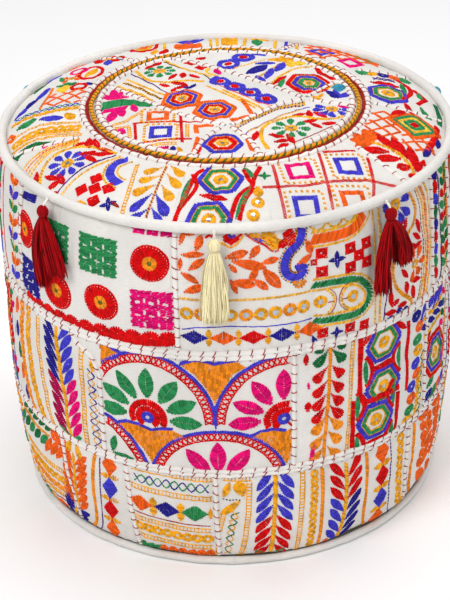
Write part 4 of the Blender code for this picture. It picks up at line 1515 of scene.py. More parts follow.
# ---------------------------------------------------------------- wall, lower row
base = Embroidery(wall, lambda u, v: (v > 9) & (v < row_z(LOWER_ROW, u) - 3))
for k, (x, hue) in enumerate(((-228, "green"), (-217, "leaf"), (-206, "green"), (-195, "leaf"),
        (-184, "green"))):
    base.leaf((x, 92 - k * 0.6), (x - 13, 76), 7.5, hue)
    base.leaf((x - 4, 95), (x + 8, 104), 7, "leaf")
base.rope([(-232, 93), (-182, 90)], ("gold", "amber"), 3.2)
for x in (-186, -178, -170):
    base.leaf((x + 8, 90), (x - 5, 70), 7, "orange")
base.leaf((-180, 102), (-166, 88), 10, "orange")
base.ladder([(-232, 62), (-166, 58)], width=6)
base.beads([(-230, 51), (-167, 47)], "gold", "amber", 7.6, 4.6)
base.beads([(-228, 40), (-168, 36)], "amber", "gold", 7.6, 4.2)
base.ladder([(-226, 29), (-170, 27)], width=6)
base.line([(-224, 21), (-172, 20)], "brown", 1.6)
base.lozenges([(-222, 13), (-174, 13)], ("green", "orange", "blue"), (9, 5), 20)
base.feather([(-168, 8), (-157, 28), (-153, 60), (-149, 88)], 15.5, ((0.26, "navy"), (1.0, "orange")), 9.5,
    8.4)
base.drop((-151, 103), (-158, 88), 8, "gold")
base.drop((-147, 103), (-140, 87), 8, "gold")
base.band(curve([(-123, 101), (-128, 70), (-130, 40), (-134, 20), (-142, 8)]), 2.8, "amber", slant=0.9)
base.line(curve([(-118, 101), (-120, 70), (-123, 40), (-127, 18), (-134, 8)]), "purple", 1.5, 3, 0.6)
base.lozenges([(-116, 6), (-112, 50), (-108, 105)], ("orange", "red", "blue", "orange"), (12, 7.6), 26)
base.ladder([(-88, 98.5), (-55, 97.5), (-17, 95.5)], width=6)
base.interlace([(-89, 88.5), (-50, 87.5), (-17, 86)], "navy", "green", 4.2, 14.5, 1.5)
base.ladder([(-90, 79), (-55, 77.5), (-18, 75)], width=6.6)
base.lozenges([(-94, 61.5), (-57, 60), (-21, 58.5)], ("orange", "navy", "green"), (11.5, 9), 24.3)
base.leaf((-20, 53), (-20, 65), 4, "gold", split=False)
base.line([(-90, 50), (-60, 48), (-20, 44.5)], "brown", 1.2, 3)
base.ladder([(-90, 43.5), (-55, 42), (-20, 39)], width=6)
base.beads([(-90, 34), (-55, 32.5), (-19, 29)], "gold", "amber", 9.4, 5.0)
base.ladder([(-90, 23.5), (-55, 22), (-20, 19)], width=6)
for x in (-94, -86, -78):
    base.leaf((x, 5), (x + 12, 15), 6, "green")
for x in (-68, -59, -50, -41, -33, -25):
    base.leaf((x, 4), (x + 5, 16), 8.5, "orange")
base.ladder([(-9, 97), (15, 96)], width=4.4)
base.leaf((-9, 78), (-3, 94), 5.5, "gold")
base.leaf((8, 79), (3, 94), 11, "gold", fat=0.5)
base.line([(-10, 76), (6, 75)], "black", 1.3, 1.5, 1.2)
base.leaf((5, 74), (-12, 58), 7, "gold")
base.ladder([(-9, 58), (-13, 38)], width=4.4)
base.ladder([(-13, 24), (-17, 8)], width=4.4)
base.interlace([(2, 66), (-3, 40), (-7, 8)], "leaf", "gold", 3.0, 12.5, 1.4)
base.ladder([(13, 93), (12, 60), (9, 30), (5, 8)], width=5.4)
base.feather([(35, 101), (34, 60), (33, 30), (32, 8)], 15.5, ((0.44, "blue"), (1.0, "red")), 11.5, 8.6)
base.leaves(((30, 4, 18, 14, 7), (34, 4, 44, 14, 7)), "green")
base.ladder([(58, 97), (57, 50), (56, 8)], width=5.4)
base.beads([(68.5, 96), (68, 50), (68, 9)], "gold", "amber", 7.4, 3.8)
base.band([(75.5, 96), (76, 50), (77, 9)], 2.8, "amber", slant=0.9)
base.feather([(97, 8), (99, 50), (98, 94)], 15, ((0.54, "blue"), (1.0, "red")), 11.5, 8.6, dark=-1)
base.leaf((90, 4), (82, 12), 6, "orange")
base.band(curve([(119, 98), (120, 60), (122, 25), (128, 8)]), 2.8, "amber", slant=0.9)
base.lozenges([(142, 0), (139, 50), (136, 102)], ("orange", "blue", "red", "orange"), (12, 8.6), 26)
base.line(curve([(147, 98), (150, 50), (153, 22), (160, 8)]), "purple", 1.5, 3, 0.8)
base.beads(curve([(160, 96), (162, 70), (165, 40), (170, 20), (178, 8)]), "gold", "amber", 9.0, 5.0)
base.band(curve([(181, 96), (183, 50), (187, 25), (194, 8)]), 2.8, "amber", slant=0.9)
base.spray([(205, 30), (206, 60), (200, 96)], "orange", 15, 9, 11, 42, stem="amber")
base.spray([(230, 30), (231, 60), (226, 96)], "orange", 15, 9, 11, 42, stem="amber")
base.leaves(((196, 34, 224, 10, 13), (220, 30, 240, 12, 11)), "orange")
RECIPES_LOW = (stripes, branches, hexagons, feathers, squares, poppies, scrolls, stripes)
starts = LOWER_BACK + [ROUND - 230]
for k, (x0, x1) in enumerate(zip(starts[:-1], starts[1:])):
    if x1 - x0 > 30:
        RECIPES_LOW[k % len(RECIPES_LOW)](base, x0 + 5, x1 - 5, 11, 98)

for part, name in ((up, "embroidery_upper"), (mid, "embroidery_middle"), (fans_left, "embroidery_fans"),
        (low, "embroidery_spandrels"), (base, "embroidery_lower")):
    finish_piece(part.mesh(name), "pouf")
    if part.mirrors:
        finish_piece(part.mirror_mesh(name + "_mirrors"), "pouf")

# ---------------------------------------------------------------- crown, centre
disc = Embroidery(crown, lambda u, v: np.hypot(u, v) < BRAID_R - 10)
for tip, wide in (((-96, 31), 8), ((-105, 21), 7), ((-83, 12), 7), ((-89, 23), 7)):
    disc.leaf((-97, 6), tip, wide, "magenta")
disc.level = 0.4
disc.satin([(-105, 4), (-88, 4), (-74, 0), (-62, -8), (-66, -13), (-80, -9), (-92, -8), (-107, -13)], 80,
    "green")
disc.level = 0.0
disc.leaves(((-106, -14, -106, -41, 8), (-94, -17, -98, -38, 9), (-90, -11, -87, -30, 8),
    (-79, -8, -76, -23, 6.5)), "magenta")
disc.band([(-108, -16), (-84, -13)], 6, "magenta", slant=0.6)
disc.ladder([(-102, -48), (-84, -40), (-70, -22)], width=3.4)
for c, spin in (((-57, -33), 0), ((-54, -66), -2)):
    disc.hollow_square(c, 9.5, 5.4, "orange" if c[1] > -50 else "blue", spin)
    disc.dotted_frame(c, 13.6, spin=spin)
disc.band([(-99, -54), (-85, -54)], 4.4, "magenta", slant=0.1)
disc.band([(-86, -55), (-84, -70)], 4.4, "magenta", slant=0.1)
disc.ladder([(-96, -50), (-81, -50), (-79, -76)], width=3.4)
disc.band([(-27, -57), (-10, -55)], 4.2, "orange", slant=0.1)
disc.band([(-25, -59), (-24, -69)], 4.2, "orange", slant=0.1)
disc.ladder([(-32, -52), (-32, -76)], width=3.4)
disc.ladder([(-68, -86), (-40, -85)], width=4)
disc.band([(-59, -91), (-47, -91)], 4, "magenta", slant=0.1)
disc.leaves(((-44, -98, -43, -90, 5, "navy"), (-36, -98, -40, -92, 4, "gold")))
for line in ([(-78, -46), (-20, -48)], [(-76, -46), (-74, -80)], [(-38, -32), (-36, -84)],
        [(-76, -80), (-28, -79)]):
    disc.crosses(line, "red", 2.6, 2.0)
WARM = (("orange", 3.4), ("blue", 3.2), ("red", 3.4))
disc.medallion((-37, -4), 19, WARM, 15)
disc.medallion((-9, -26), 19.5, WARM, 8)
disc.medallion((-3, -88), 18, (("blue", 4.0), ("red", 4.6)), 0)
disc.band([(14, -8), (22, -32)], 3.6, "orange", slant=0.3)
disc.band([(20, -36), (4, -46)], 3.6, "orange", slant=0.3)
disc.leaf((-23, -102), (-24, -88), 7, "red", fat=0.5)
for s in (-1, 1):
    disc.band(curve([(-3 + s * 20, -76), (-3 + s * 22, -88), (-3 + s * 24, -98)]), 3.6, "orange")
disc.eyed_chain(((-4, 31), (8.5, 19.5), (21.5, 7.5), (35, -5)), "blue")
disc.eyed_chain(((3.4, 73), (17, 87)), "blue", 8.0)
disc.leaf((-11, 24), (-6, 44), 6, "blue", fat=0.5)
disc.band([(24, 96), (37, 96)], 5.0, "blue")
disc.leaf((-8, 63), (-5, 49), 7, "magenta", fat=0.5)
disc.band(curve([(-14, 64), (-16, 56), (-12, 48), (-5, 42)]), 2.6, "yellow")
disc.rope([(-2, 12), (12, -4), (32, -24)], GILT, 2.4)
disc.rope([(-16, 20), (6, -3), (26, -24)], GILT, 1.8)
disc.line([(-10, 26), (28, -12), (48, -20)], "orange", 1.1)
disc.petals((-57, 58), 5.4, "green", star_tips(-57, 58, 13.5, 8),
       6.0)
disc.leaves(((-70, 69, -63, 79, 6), (-66, 76, -56, 84, 6)), "red")
disc.rope(curve([(-54, 94), (-49, 80), (-40, 68), (-28, 56), (-12, 42)]), GILT, 2.2)
disc.line(curve([(-54, 85), (-44, 70), (-30, 59), (-19, 48), (-12, 33)]), "black", 1.1)
disc.rope(curve([(-79, 69), (-75, 58), (-69, 44), (-61, 36), (-50, 32), (-34, 33), (-18, 31)]), GILT, 2.6)
disc.line(curve([(-83, 63), (-75, 50), (-68, 38), (-60, 27), (-52, 14), (-45, 4)]), "purple", 1.4)
disc.rope([(-86, 50), (-70, 27), (-52, 6)], GILT, 1.9)
disc.rope([(-89, 43), (-70, 20), (-55, 0)], ("gold", "black"), 2.2)
disc.rope([(-94, 38), (-76, 18), (-62, 0)], GILT, 1.7)
disc.leaves(((-42, 49, -49, 37, 4.5, "red"), (-36, 52, -37, 40, 6, "red"), (-31, 47, -22, 38, 4.5, "red"),
    (-57, 29, -48, 25, 4.5, "red"), (-47, 31, -36, 27, 5, "red"), (-37, 30, -33, 20, 5, "red"),
    (-46, 12, -43, 20, 4.5, "red"), (-44, 20, -35, 23, 4.5, "red"), (-22, 88, -17, 94, 4.5, "red"),
    (-26, 92, -20, 89, 4, "red"), (-36, 22, -29, 17, 4.5, "navy"), (-41, 9, -32, 14, 3.5, "navy"),
    (-31, 18, -25, 26, 3.5, "navy")))
for c in ((-31, 80), (-21, 67)):
    disc.satin(turned([(-5.6, 0), (0, 6), (5.6, 0), (0, -6)], 10) + np.array(c), 40, "red")
for base_at, tip, wide in (((19, 51), (38, 66), 11), ((27, 70), (45, 71), 5.5), ((35, 33), (27, 45), 7),
        ((36, 38), (42, 60), 8), ((45, 52), (53, 73), 8.5)):
    disc.leaf(base_at, tip, wide, "navy" if wide == 11 else "blue")
disc.rope([(26, 38), (42, 60), (56, 78)], GILT, 1.8)
disc.rope([(8, 64), (24, 72), (36, 80)], GILT, 1.6)
disc.leaves(((38, 79, 58, 84, 10, "gold"), (50, 95, 61, 79, 9, "gold"), (58, 62, 60, 80, 9, "yellow"),
    (65, 68, 69, 84, 9, "yellow")))
disc.rope([(39, 28), (58, 55), (78, 72)], GILT, 2.0)
disc.medallion((73, 29), 21, (("red", 4.4), ("blue", 4.2), ("green", 4.0)), 8)
disc.band([(82, 66), (84, 52), (96, 42)], 5, "red")
disc.band([(88, 70), (92, 56), (102, 46)], 3.6, "green")
disc.leaves(((41, 26, 54, 42, 4.5, "red"), (45, 17, 52, 36, 4.5, "green")))
disc.rope([(82, 12), (94, 28), (104, 40)], GILT, 1.8)
disc.leaf((98, 14), (99, 31), 12, "teal")
for tip in ((87, 13), (94, 16), (107, 13), (90, 4)):
    disc.leaf((98, 0), tip, 6.5, "navy" if tip[0] < 94 else "blue")
for tip in ((75, 3), (84, 5), (72, -5), (82, -6)):
    disc.leaf((79, -1), tip, 3.6, "gold")
disc.petals((90, -25), 5.2, "blue", ((77, -18), (74, -28), (79, -40), (89, -41), (100, -33), (102, -24)), 7.2)
disc.leaves(((95, -17, 106, -20, 5.5, "magenta"), (56, -41, 67, -36, 4.5, "red"),
    (70, -30, 71, -43, 6, "red"), (74, -33, 85, -43, 5.5, "red"), (64, -52, 76, -47, 5, "red"),
    (70, -53, 80, -61, 5, "red"), (80, -54, 92, -50, 5, "red"), (35, -74, 48, -80, 5, "red"),
    (39, -87, 51, -84, 5, "red"), (42, -96, 51, -89, 5, "red"), (50, -74, 56, -89, 5.5, "red")))
disc.rope(curve([(34, -96), (30, -84), (29, -74), (31, -62), (38, -52), (50, -45), (62, -42), (76, -45),
    (88, -45), (100, -36)]), GILT, 3.0)
disc.petals((54, -64), 5.4, "green", star_tips(54, -64, 16, 8), 6.2)
disc.leaf((26, -68), (23, -81), 6, "red")
disc.line([(56, -87), (75, -70), (92, -53)], "brown", 1.1)
disc.rope([(6, -64), (25, -43), (45, -26), (68, -17)], ("gold", "navy"), 2.0)
disc.rope([(12, -50), (30, -33), (48, -20), (68, -9)], ("gold", "black"), 2.4)
disc.rope([(8, -57), (27, -38), (46, -23), (68, -13)], GILT, 1.7)
disc.line([(14, -72), (30, -55), (45, -41), (60, -29), (72, -21)], "blue", 1.3)
disc.rope([(18, -68), (34, -52), (50, -38), (64, -28)], GILT, 1.6)

# ---------------------------------------------------------------- crown, outer ring
ring = Embroidery(crown, lambda u, v: (np.hypot(u, v) > BRAID_R + 10.5) & (np.hypot(u, v) < 187))
ring.interlace([(-184, 8), (-122, 6)], "blue", "green", 2.6, 9, 1.3)
ring.beads([(-185, 0), (-122, -1)], "gold", "amber", 6, 3)
for base_at, tip, hue in (((-179, -14), (-161, -8), "green"), ((-159, -11), (-138, -17), "blue"),
        ((-136, -10), (-129, -21), "gold"), ((-184, -16), (-183, -29), "orange")):
    ring.leaf(base_at, tip, 9, hue)
for lift, width in ((0, 3.4), (16, 3.4)):
    ring.ladder(curve([(-184, -27 - lift), (-165, -22 - lift), (-145, -24 - lift), (-122, -31 - lift)]),
        width=width)
ring.beads(curve([(-181, -39), (-165, -33), (-148, -33), (-134, -37), (-122, -41)]), "gold", "yellow", 7.5, 5)
ring.ladder(curve([(-184, -49), (-165, -44), (-145, -45), (-120, -52)]), width=3)
ring.band(curve([(-175, -73), (-177, -62), (-171, -54), (-160, -51), (-149, -55)]), 7.5, "leaf", slant=0.7)
ring.band(curve([(-153, -60), (-148, -55), (-140, -57)]), 2.8, "magenta")
for k in range(4):
    ring.rope(curve([(-172 + k * 2.4, -84 - k * 4.5), (-160 + k * 1.6, -71 - k * 4.2), (-145, -62 - k * 3.4),
        (-122, -57 - k * 3)]), ("gold", "orange" if k == 1 else "yellow"), 1.8)
ring.rope(curve([(-150, -121), (-153, -105), (-150, -90), (-143, -79), (-130, -73), (-115, -75), (-102, -82),
    (-90, -93)]), GILT, 2.8)
ring.petals((-130, -94), 5.2, "blue", star_tips(-130, -94, 16, 9),
       6.0)
ring.leaves(((-127, -71, -116, -68, 5), (-114, -62, -113, -77, 8), (-109, -64, -105, -81, 5.5),
    (-105, -81, -93, -88, 5), (-122, -85, -107, -85, 5), (-118, -87, -105, -101, 5.5),
    (-113, -88, -92, -92, 6), (-156, -92, -157, -109, 5.5), (-149, -101, -137, -111, 5.5),
    (-138, -104, -132, -119, 6), (-147, -118, -136, -113, 6), (-153, -110, -151, -121, 4),
    (-145, -122, -137, -126, 5)), "red")
ring.line(curve([(-140, -128), (-125, -112), (-110, -102), (-90, -95)]), "purple", 1.5)
ring.rope(curve([(-137, -132), (-122, -116), (-105, -105), (-86, -98)]), GILT, 2.0)
for c in ((-105, -123), (-117, -131), (-106, -134), (-95, -137), (-107, -146)):
    ring.satin(turned([(-4.6, -4.6), (4.6, -4.6), (4.6, 4.6), (-4.6, 4.6)], 14) + np.array(c), 14, "red")
ring.band(curve([(-80, -103), (-90, -108), (-94, -118), (-92, -127), (-86, -134)]), 7.0, "blue", slant=0.4)
ring.rope(curve([(-84, -100), (-95, -107), (-99.5, -119), (-97, -130), (-89, -138)]), GILT, 1.6)
ring.rope(curve([(-76, -108), (-85, -112), (-88, -119), (-86, -126), (-81, -131)]), GILT, 1.4)
ring.star((-95, -153), 7, "navy")
ring.leaves(((-93, -151, -86, -159, 3, "brown"), (-121, -141, -113, -147, 3, "gold")))
ring.ladder([(-72, -112), (-76, -135), (-84, -167)], width=3.6)
ring.rope(curve([(-48, -118), (-54, -140), (-60, -160), (-66, -178)]), ("gold", "brown"), 2.0)
for base_at, tip, wide, hue in (((-50, -119), (-66, -126), 8, "gold"), ((-52, -131), (-70, -136), 8, "gold"),
        ((-56, -142), (-75, -148), 8.5, "gold"), ((-45, -118), (-35, -134), 8, "gold"),
        ((-48, -129), (-38, -148), 8.5, "gold"), ((-52, -143), (-44, -161), 8.5, "gold"),
        ((-59, -151), (-77, -165), 8, "blue"), ((-57, -151), (-48, -175), 9, "blue"),
        ((-62, -166), (-78, -173), 6.5, "blue"), ((-60, -165), (-53, -181), 6.5, "blue")):
    ring.drop(base_at, tip, wide, hue)
ring.band(curve([(-18, -126), (-25, -134), (-33, -157), (-43, -183)]), 3.8, "red", slant=0.3)
ring.band(curve([(-27, -132), (-24, -146), (-29, -158), (-39, -172)]), 3.4, "red", slant=0.3)
ring.leaf((-29, -138), (-37, -170), 5.5, "green", fat=0.5, split=False)
ring.leaf((-22, -157), (0, -164), 6.5, "red", fat=0.5)
ring.medallion((-5, -140), 19.5, HEX_RINGS, 3)
ring.medallion((-15, -182), 19.5, HEX_RINGS, 3)
for c, t in (((13, -124), (22, -140)), ((19, -148), (6, -182))):
    ring.leaf(c, t, 5.5, "green", fat=0.5, split=False)
ring.band(curve([(27, -123), (22, -138), (20, -148)]), 3.8, "red", slant=0.3)
ring.band(curve([(14, -128), (17, -140), (20, -148), (9, -160), (2, -182)]), 3.8, "red", slant=0.3)
ring.band(curve([(21, -150), (13, -166), (9, -183)]), 3.6, "red", slant=0.3)
ring.shisha((24, -166), 5.4, 1.8)
ring.shisha((20, -178), 5.4, 1.8)
ring.leaf((24, -149), (25, -160), 8, "gold")
ring.star((30, -136), 5, "green")
for c, spin, hue in (((58.5, -127), 11, "magenta"), ((98, -115), 11, "blue"), ((62.5, -167), 9, "blue"),
        ((101, -154), 14, "orange")):
    ring.hollow_square(c, 10.4, 6.2, hue, spin)
    ring.dotted_frame(c, 15.0, spin=spin)
for line in ([(37, -120), (41, -150), (46, -182)], [(75, -101), (80, -139), (84, -169)],
        [(115, -99), (118, -130), (117, -149)], [(28, -150), (60, -146), (85, -137), (112, -129),
        (140, -126)], [(76, -99), (90, -96), (105, -92)]):
    ring.crosses(line, "red", 2.7, 2.3)
for tip in ((103, -66), (102, -76), (106, -84), (114, -57), (121, -60)):
    ring.leaf((121, -75), tip, 9, "orange")
ring.beads(curve([(119, -76), (136, -82), (149, -95), (156, -110)]), "gold", "yellow", 4.4, 1.8)
ring.leaves(((134, -86, 112, -87, 9), (143, -92, 121, -97, 9), (151, -98, 139, -104, 9),
    (156, -105, 150, -113, 9), (139, -83, 123, -61, 9), (149, -90, 137, -64, 10), (156, -101, 151, -71, 10),
    (158, -109, 163, -84, 9)), "red")
ring.lattice((116, 146, -66, -20), 38, "orange", 11)
ring.lattice((146, 174, -74, -52), 30, "orange", 10)
for half, width, hue in ((16, 4, "orange"), (12.5, 3.6, "green"), (9, 2.6, "yellow"), (5.5, 3.4, "green")):
    ring.band(turned([(-half, -half), (half, -half), (half, half), (-half, half)], 40) + np.array([159, -34]),
        width, hue, closed=True)
ring.satin(turned([(-3, -3), (3, -3), (3, 3), (-3, 3)], 40) + np.array([159, -34]), 0, "red")
ring.leaf((139, -32), (153, -8), 10, "red", fat=0.5)
ring.band(curve([(180, -22), (177, -40), (171, -58), (167, -70)]), 5.5, "red", slant=0.4)
ring.leaves(((179, -44, 177, -58, 5), (170, -64, 163, -79, 6)), "navy")
ring.medallion((141, 20), 19.5, HEX_RINGS, 30)
ring.leaf((127, 42), (152, 41), 9, "red", fat=0.5)
ring.interlace([(128, 52), (152, 55)], "navy", "purple", 2.4, 9, 1.6)
for x, hue in ((122, "green"), (130, "gold"), (140, "navy"), (150, "orange"), (159, "green")):
    ring.disc((x, 68), 6.4, hue, inner=2.4 if hue == "navy" else 0, squash=1.2)
for shift in (0, 14):
    ring.band(curve([(152 + shift, 60 - shift), (162 + shift * 0.8, 46 - shift), (161 + shift, 30),
        (152 + shift, 12)]), 4.2, "red", slant=0.3)
    ring.leaf((155 + shift, 54 - shift), (157 + shift, 27), 5.5, "green", fat=0.5, split=False)
    ring.leaf((154 + shift, 8), (162 + shift, -12), 5.5, "green" if shift else "red", fat=0.5)
ring.band([(184, 30), (185, 0), (183, -16)], 4, "leaf", slant=0.5)
ring.lattice((74, 140, 96, 150), 40, "orange", 12)
for c, hue in (((88, 117), "blue"), ((113, 91), "magenta"), ((128, 122), "green")):
    ring.hollow_square(c, 9, 5, hue, 42)
ring.woven((-2, 132), 14, 56, "gold")
ring.woven((25, 156), 16, 30, "gold")
ring.leaf((30, 130), (31, 155), 10, "green")
for x, hue in ((46, "gold"), (56, "blue"), (66, "gold"), (18, "gold")):
    ring.rope([(x, 122), (x + 3, 184)], (hue, "yellow") if hue == "gold" else (hue,), 2.6)
for x in (-12, -6):
    ring.rope([(x, 126), (x - 1, 186)], GILT, 2.4)
for tip in ((-40, 172), (-21, 178), (-31, 184)):
    ring.leaf((-32, 136), tip, 13, "blue")
for tip in ((-44, 140), (-22, 138), (-33, 146)):
    ring.leaf((-33, 117), tip, 12, "orange")
ring.rope([(-54, 128), (-56, 176)], GILT, 2.6)
ring.leaves(((-65, 114, -62, 128, 7, "gold"), (-58, 112, -52, 127, 8, "red")))
for inset, hue in ((0, "red"), (5, "gold"), (9, "orange")):
    ring.band(curve([(-86 + inset, 160), (-84 + inset, 140 + inset), (-73, 129 + inset),
        (-63 - inset, 138 + inset), (-62 - inset, 165)]), 3.2, hue)
ring.petals((-105, 122), 5.2, "red", ((-116, 112), (-97, 105), (-92, 128), (-104, 141), (-119, 126)), 8)
ring.leaves(((-105, 114, -105, 94, 8, "blue"), (-98, 116, -90, 120, 7, "navy")))
ring.band(curve([(-118, 97), (-109, 85), (-112, 70), (-121, 64), (-129, 73), (-127, 88)], closed=True), 3.0,
    "red", closed=True)
ring.leaf((-124, 70), (-114, 88), 8, "gold")
ring.band(curve([(-137, 95), (-130, 101), (-123, 93), (-128, 85), (-136, 87)], closed=True), 2.4, "magenta",
    closed=True)
ring.petals((-136, 73), 3, "orange", ((-143, 78), (-129, 79), (-143, 66), (-129, 66)), 5)
ring.leaves(((-146, 84, -143, 70, 5), (-149, 61, -130, 56, 7)), "green")
ring.leaf((-142, 40), (-142, 56), 13, "yellow", fat=0.5)
ring.band(circle((-128, 47), 6.5, 20), 3.2, "red", closed=True)
ring.disc((-119, 50), 3.4, "navy")
ring.lattice((-156, -114, 12, 40), 38, "orange", 11)
ring.rope(curve([(-152, 60), (-155, 35), (-160, 12)]), ("orange", "amber"), 2.4)
ring.leaves(((-155, 64, -166, 42, 7, "blue"), (-165, 44, -174, 26, 7, "navy"),
    (-173, 30, -183, 12, 7, "blue"), (-160, 92, -170, 66, 6, "leaf"), (-148, 110, -160, 92, 6, "blue"),
    (-128, 132, -142, 116, 7, "orange")))
for part, name in ((disc, "embroidery_centre"), (ring, "embroidery_ring")):
    finish_piece(part.mesh(name), "pouf")
    finish_piece(part.mirror_mesh(name + "_mirrors"), "pouf")


# ---------------------------------------------------------------- tassels
TASSELS = (
    (-46.8, "crimson", 9.0, 8.0),
    (-3.1, "cream", -1.0, 0.0),
    (39.6, "crimson", 2.0, 9.0),
    (112, "teal", 3.0, 0.0),
    (155, "cream", -3.0, 0.0),
    (198, "crimson", 2.0, 4.0),
    (241, "teal", -2.0, 0.0),
)
YARNS = {
    "crimson": thread_material("crimson_yarn", (0.56, 0.02, 0.045), 0.55),
    "cream": thread_material("cream_yarn", (0.93, 0.87, 0.70), 0.25),
    "teal": thread_material("teal_yarn", (0.30, 0.61, 0.70), 0.4),
}
LOOP_COTTON = thread_material("loop_cotton", (0.92, 0.90, 0.85), 0.2)
KNOT_R, KNOT_Z = 198.9, 332.2
HEAD_R, HEAD_Z = 203.6, 327.8


def tassel_points(local, degrees):
    """Local (sideways, outwards, up) about the head's eye, turned to its place on the rim."""
    a = math.radians(degrees)
    out, side = np.array([math.sin(a), -math.cos(a), 0]), np.array([math.cos(a), math.sin(a), 0])
    local = np.asarray(local, float)
    up = np.array([0, 0, 1])
    return local[..., :1] * side + (HEAD_R + local[..., 1:2]) * out + (HEAD_Z + local[..., 2:3]) * up


def make_tassel(number, degrees, yarn, sweep, split):
    head = Heap()
    # Round knot: yarn wound over a ball, then a binding at the neck
    for k in range(26):
        a = math.pi * k / 26
        b = np.linspace(0.12, math.pi - 0.3, 12)
        r = 4.7 + 0.25 * math.sin(k * 5)
        for sign in (-1, 1):
            path = np.stack([sign * r * np.sin(b) * np.cos(a), r * 0.82 * np.sin(b) * np.sin(a) * sign + 0.6,
                -5.0 + r * 1.05 * np.cos(b)], -1)
            points, faces = tube(tassel_points(path, degrees), 0.62, 5)
            head.put(points, faces)
    for k in range(6):
        t = np.linspace(0, 2 * math.pi, 26, endpoint=False)
        path = np.stack([(3.5 - 0.05 * k) * np.cos(t), 0.6 + 2.9 * np.sin(t),
            -10.4 - 0.75 * k + 0.3 * np.sin(t)], -1)
        points, faces = tube(tassel_points(path, degrees), 0.55, 5, closed=True)
        head.put(points, faces)
    strands = 380
    t = np.linspace(0, 1, 14)
    for k in range(strands):
        layer = math.sqrt((k + 0.5) / strands)
        a = k * 2.39996
        x0, y0 = 3.4 * layer * math.cos(a), 2.6 * layer * math.sin(a)
        wide = rng.uniform(0.85, 1.1) * layer * math.cos(a)
        side = 1 if math.cos(a) > -0.2 else -1
        x1 = (11.5 + 0.45 * split) * wide + split * 0.55 * side
        y1 = 5.4 * layer * math.sin(a) * rng.uniform(0.85, 1.1) + 3.0
        long = 63.5 + rng.uniform(-5.0, 1.5) - (2.2 * split if side > 0 and split else 0)
        spread = 1 - (1 - t) ** 2.6
        tremor = rng.uniform(0.3, 0.9) * np.sin(t * rng.uniform(5, 12) + rng.uniform(0, 6))
        wave = tremor * np.minimum(1, t * 3)
        x = x0 + (x1 - x0) * spread * (1 - 0.12 * t * (split == 0)) + sweep * t**1.5 + wave
        y = 0.6 + y0 + (y1 - y0) * spread + 0.6 * wave
        y = np.maximum(y, -2.6 + 2.4 * t)
        z = -9.5 - long * t
        points, faces = tube(tassel_points(np.stack([x, y, z], -1), degrees), 0.55, 4)
        head.put(points, faces, tone=np.full(len(points), rng.uniform(0, 1)))
    skirt = head.mesh(f"tassel_yarn_{number}", [YARNS[yarn]])
    finish_piece(skirt, f"tassel_{number}_yarn", [f"tassel_{number}"])
    loop = Heap()
    for side in (-0.55, 0.55):
        t = np.linspace(0, 1, 8)
        path = np.stack([side * np.sin(math.pi * t) * 1.1, (KNOT_R - HEAD_R) * (1 - t),
            (KNOT_Z - HEAD_Z) * (1 - t) - 0.9 * t], -1)
        path[:, 1] += 0.7 * np.sin(math.pi * t)
        points, faces = tube(tassel_points(path, degrees), 0.45, 6)
        loop.put(points, faces)
    t = np.linspace(0, 2 * math.pi, 16, endpoint=False)
    knot = np.stack([1.0 * np.cos(t), KNOT_R - HEAD_R + 0.1 + 0.3 * np.sin(2 * t),
        KNOT_Z - HEAD_Z + 0.9 * np.sin(t)], -1)
    points, faces = tube(tassel_points(knot, degrees), 0.5, 6, closed=True)
    loop.put(points, faces)
    finish_piece(loop.mesh(f"tassel_loop_{number}", [LOOP_COTTON]), f"thread_{number}",
        [f"tassel_{number}_thread"])


for number, (degrees, yarn, sweep, split) in enumerate(TASSELS, 1):
    make_tassel(number, degrees, yarn, sweep, split)


# ---------------------------------------------------------------- underside and inside
def base_panel(name, y0, y1, node):
    """Half of the flat base: canvas turned over along the zip and stitched down twice."""
    radius = 185.0
    x, y = np.linspace(-1, 1, 150), np.linspace(y0, y1, int((y1 - y0) / 2.5))
    v, across = np.meshgrid(y, x, indexing="ij")
    u = across * np.sqrt(np.maximum(radius**2 - v**2, 1.0))
    zip_side = np.abs(v - (y1 if node == "base_front_panel" else y0))
    edge = radius - np.hypot(u, v)
    hem = 0.5 * np.clip((zip_side - 9) / 1.5, 0, 1)
    rows = 0.35 * (np.exp(-(((zip_side - 2.5) / 0.7) ** 2)) + np.exp(-(((zip_side - 8) / 0.7) ** 2)))
    lumps = 0.35 * np.abs(soft_noise(u.shape, (3, 3), 21, False)) * np.clip(edge / 20, 0, 1)
    low = np.minimum(3.6, 0.02 + hem + rows + lumps + 1.6 * np.exp(-((edge / 3) ** 2)))
    bottom = np.stack([u, v, low], -1).reshape(-1, 3)
    top = np.stack([u, v, np.full_like(u, 4.0)], -1).reshape(-1, 3)
    rows_n, columns = u.shape
    sheet_faces = grid_faces(rows_n, columns)
    count = rows_n * columns
    rim = np.concatenate([
        np.arange(columns), np.arange(1, rows_n) * columns + columns - 1,
        np.arange(columns - 2, -1, -1) + (rows_n - 1) * columns, np.arange(rows_n - 2, 0, -1) * columns,
    ])
    nxt = np.roll(rim, -1)
    wall_faces = np.stack([rim, nxt, nxt + count, rim + count], 1)
    faces = np.concatenate([sheet_faces[:, ::-1], sheet_faces + count, wall_faces])
    uv = np.tile(np.stack([u.ravel(), v.ravel()], 1), (2, 1))
    finish_piece(add_mesh(name, np.concatenate([bottom, top]), faces, [CANVAS], uv=uv), "pouf",
        [node])


ZIP_Y = 60.0
base_panel("base_front", -184.9, ZIP_Y - 6.0, "base_front_panel")
base_panel("base_rear", ZIP_Y + 6.0, 184.9, "base_rear_panel")

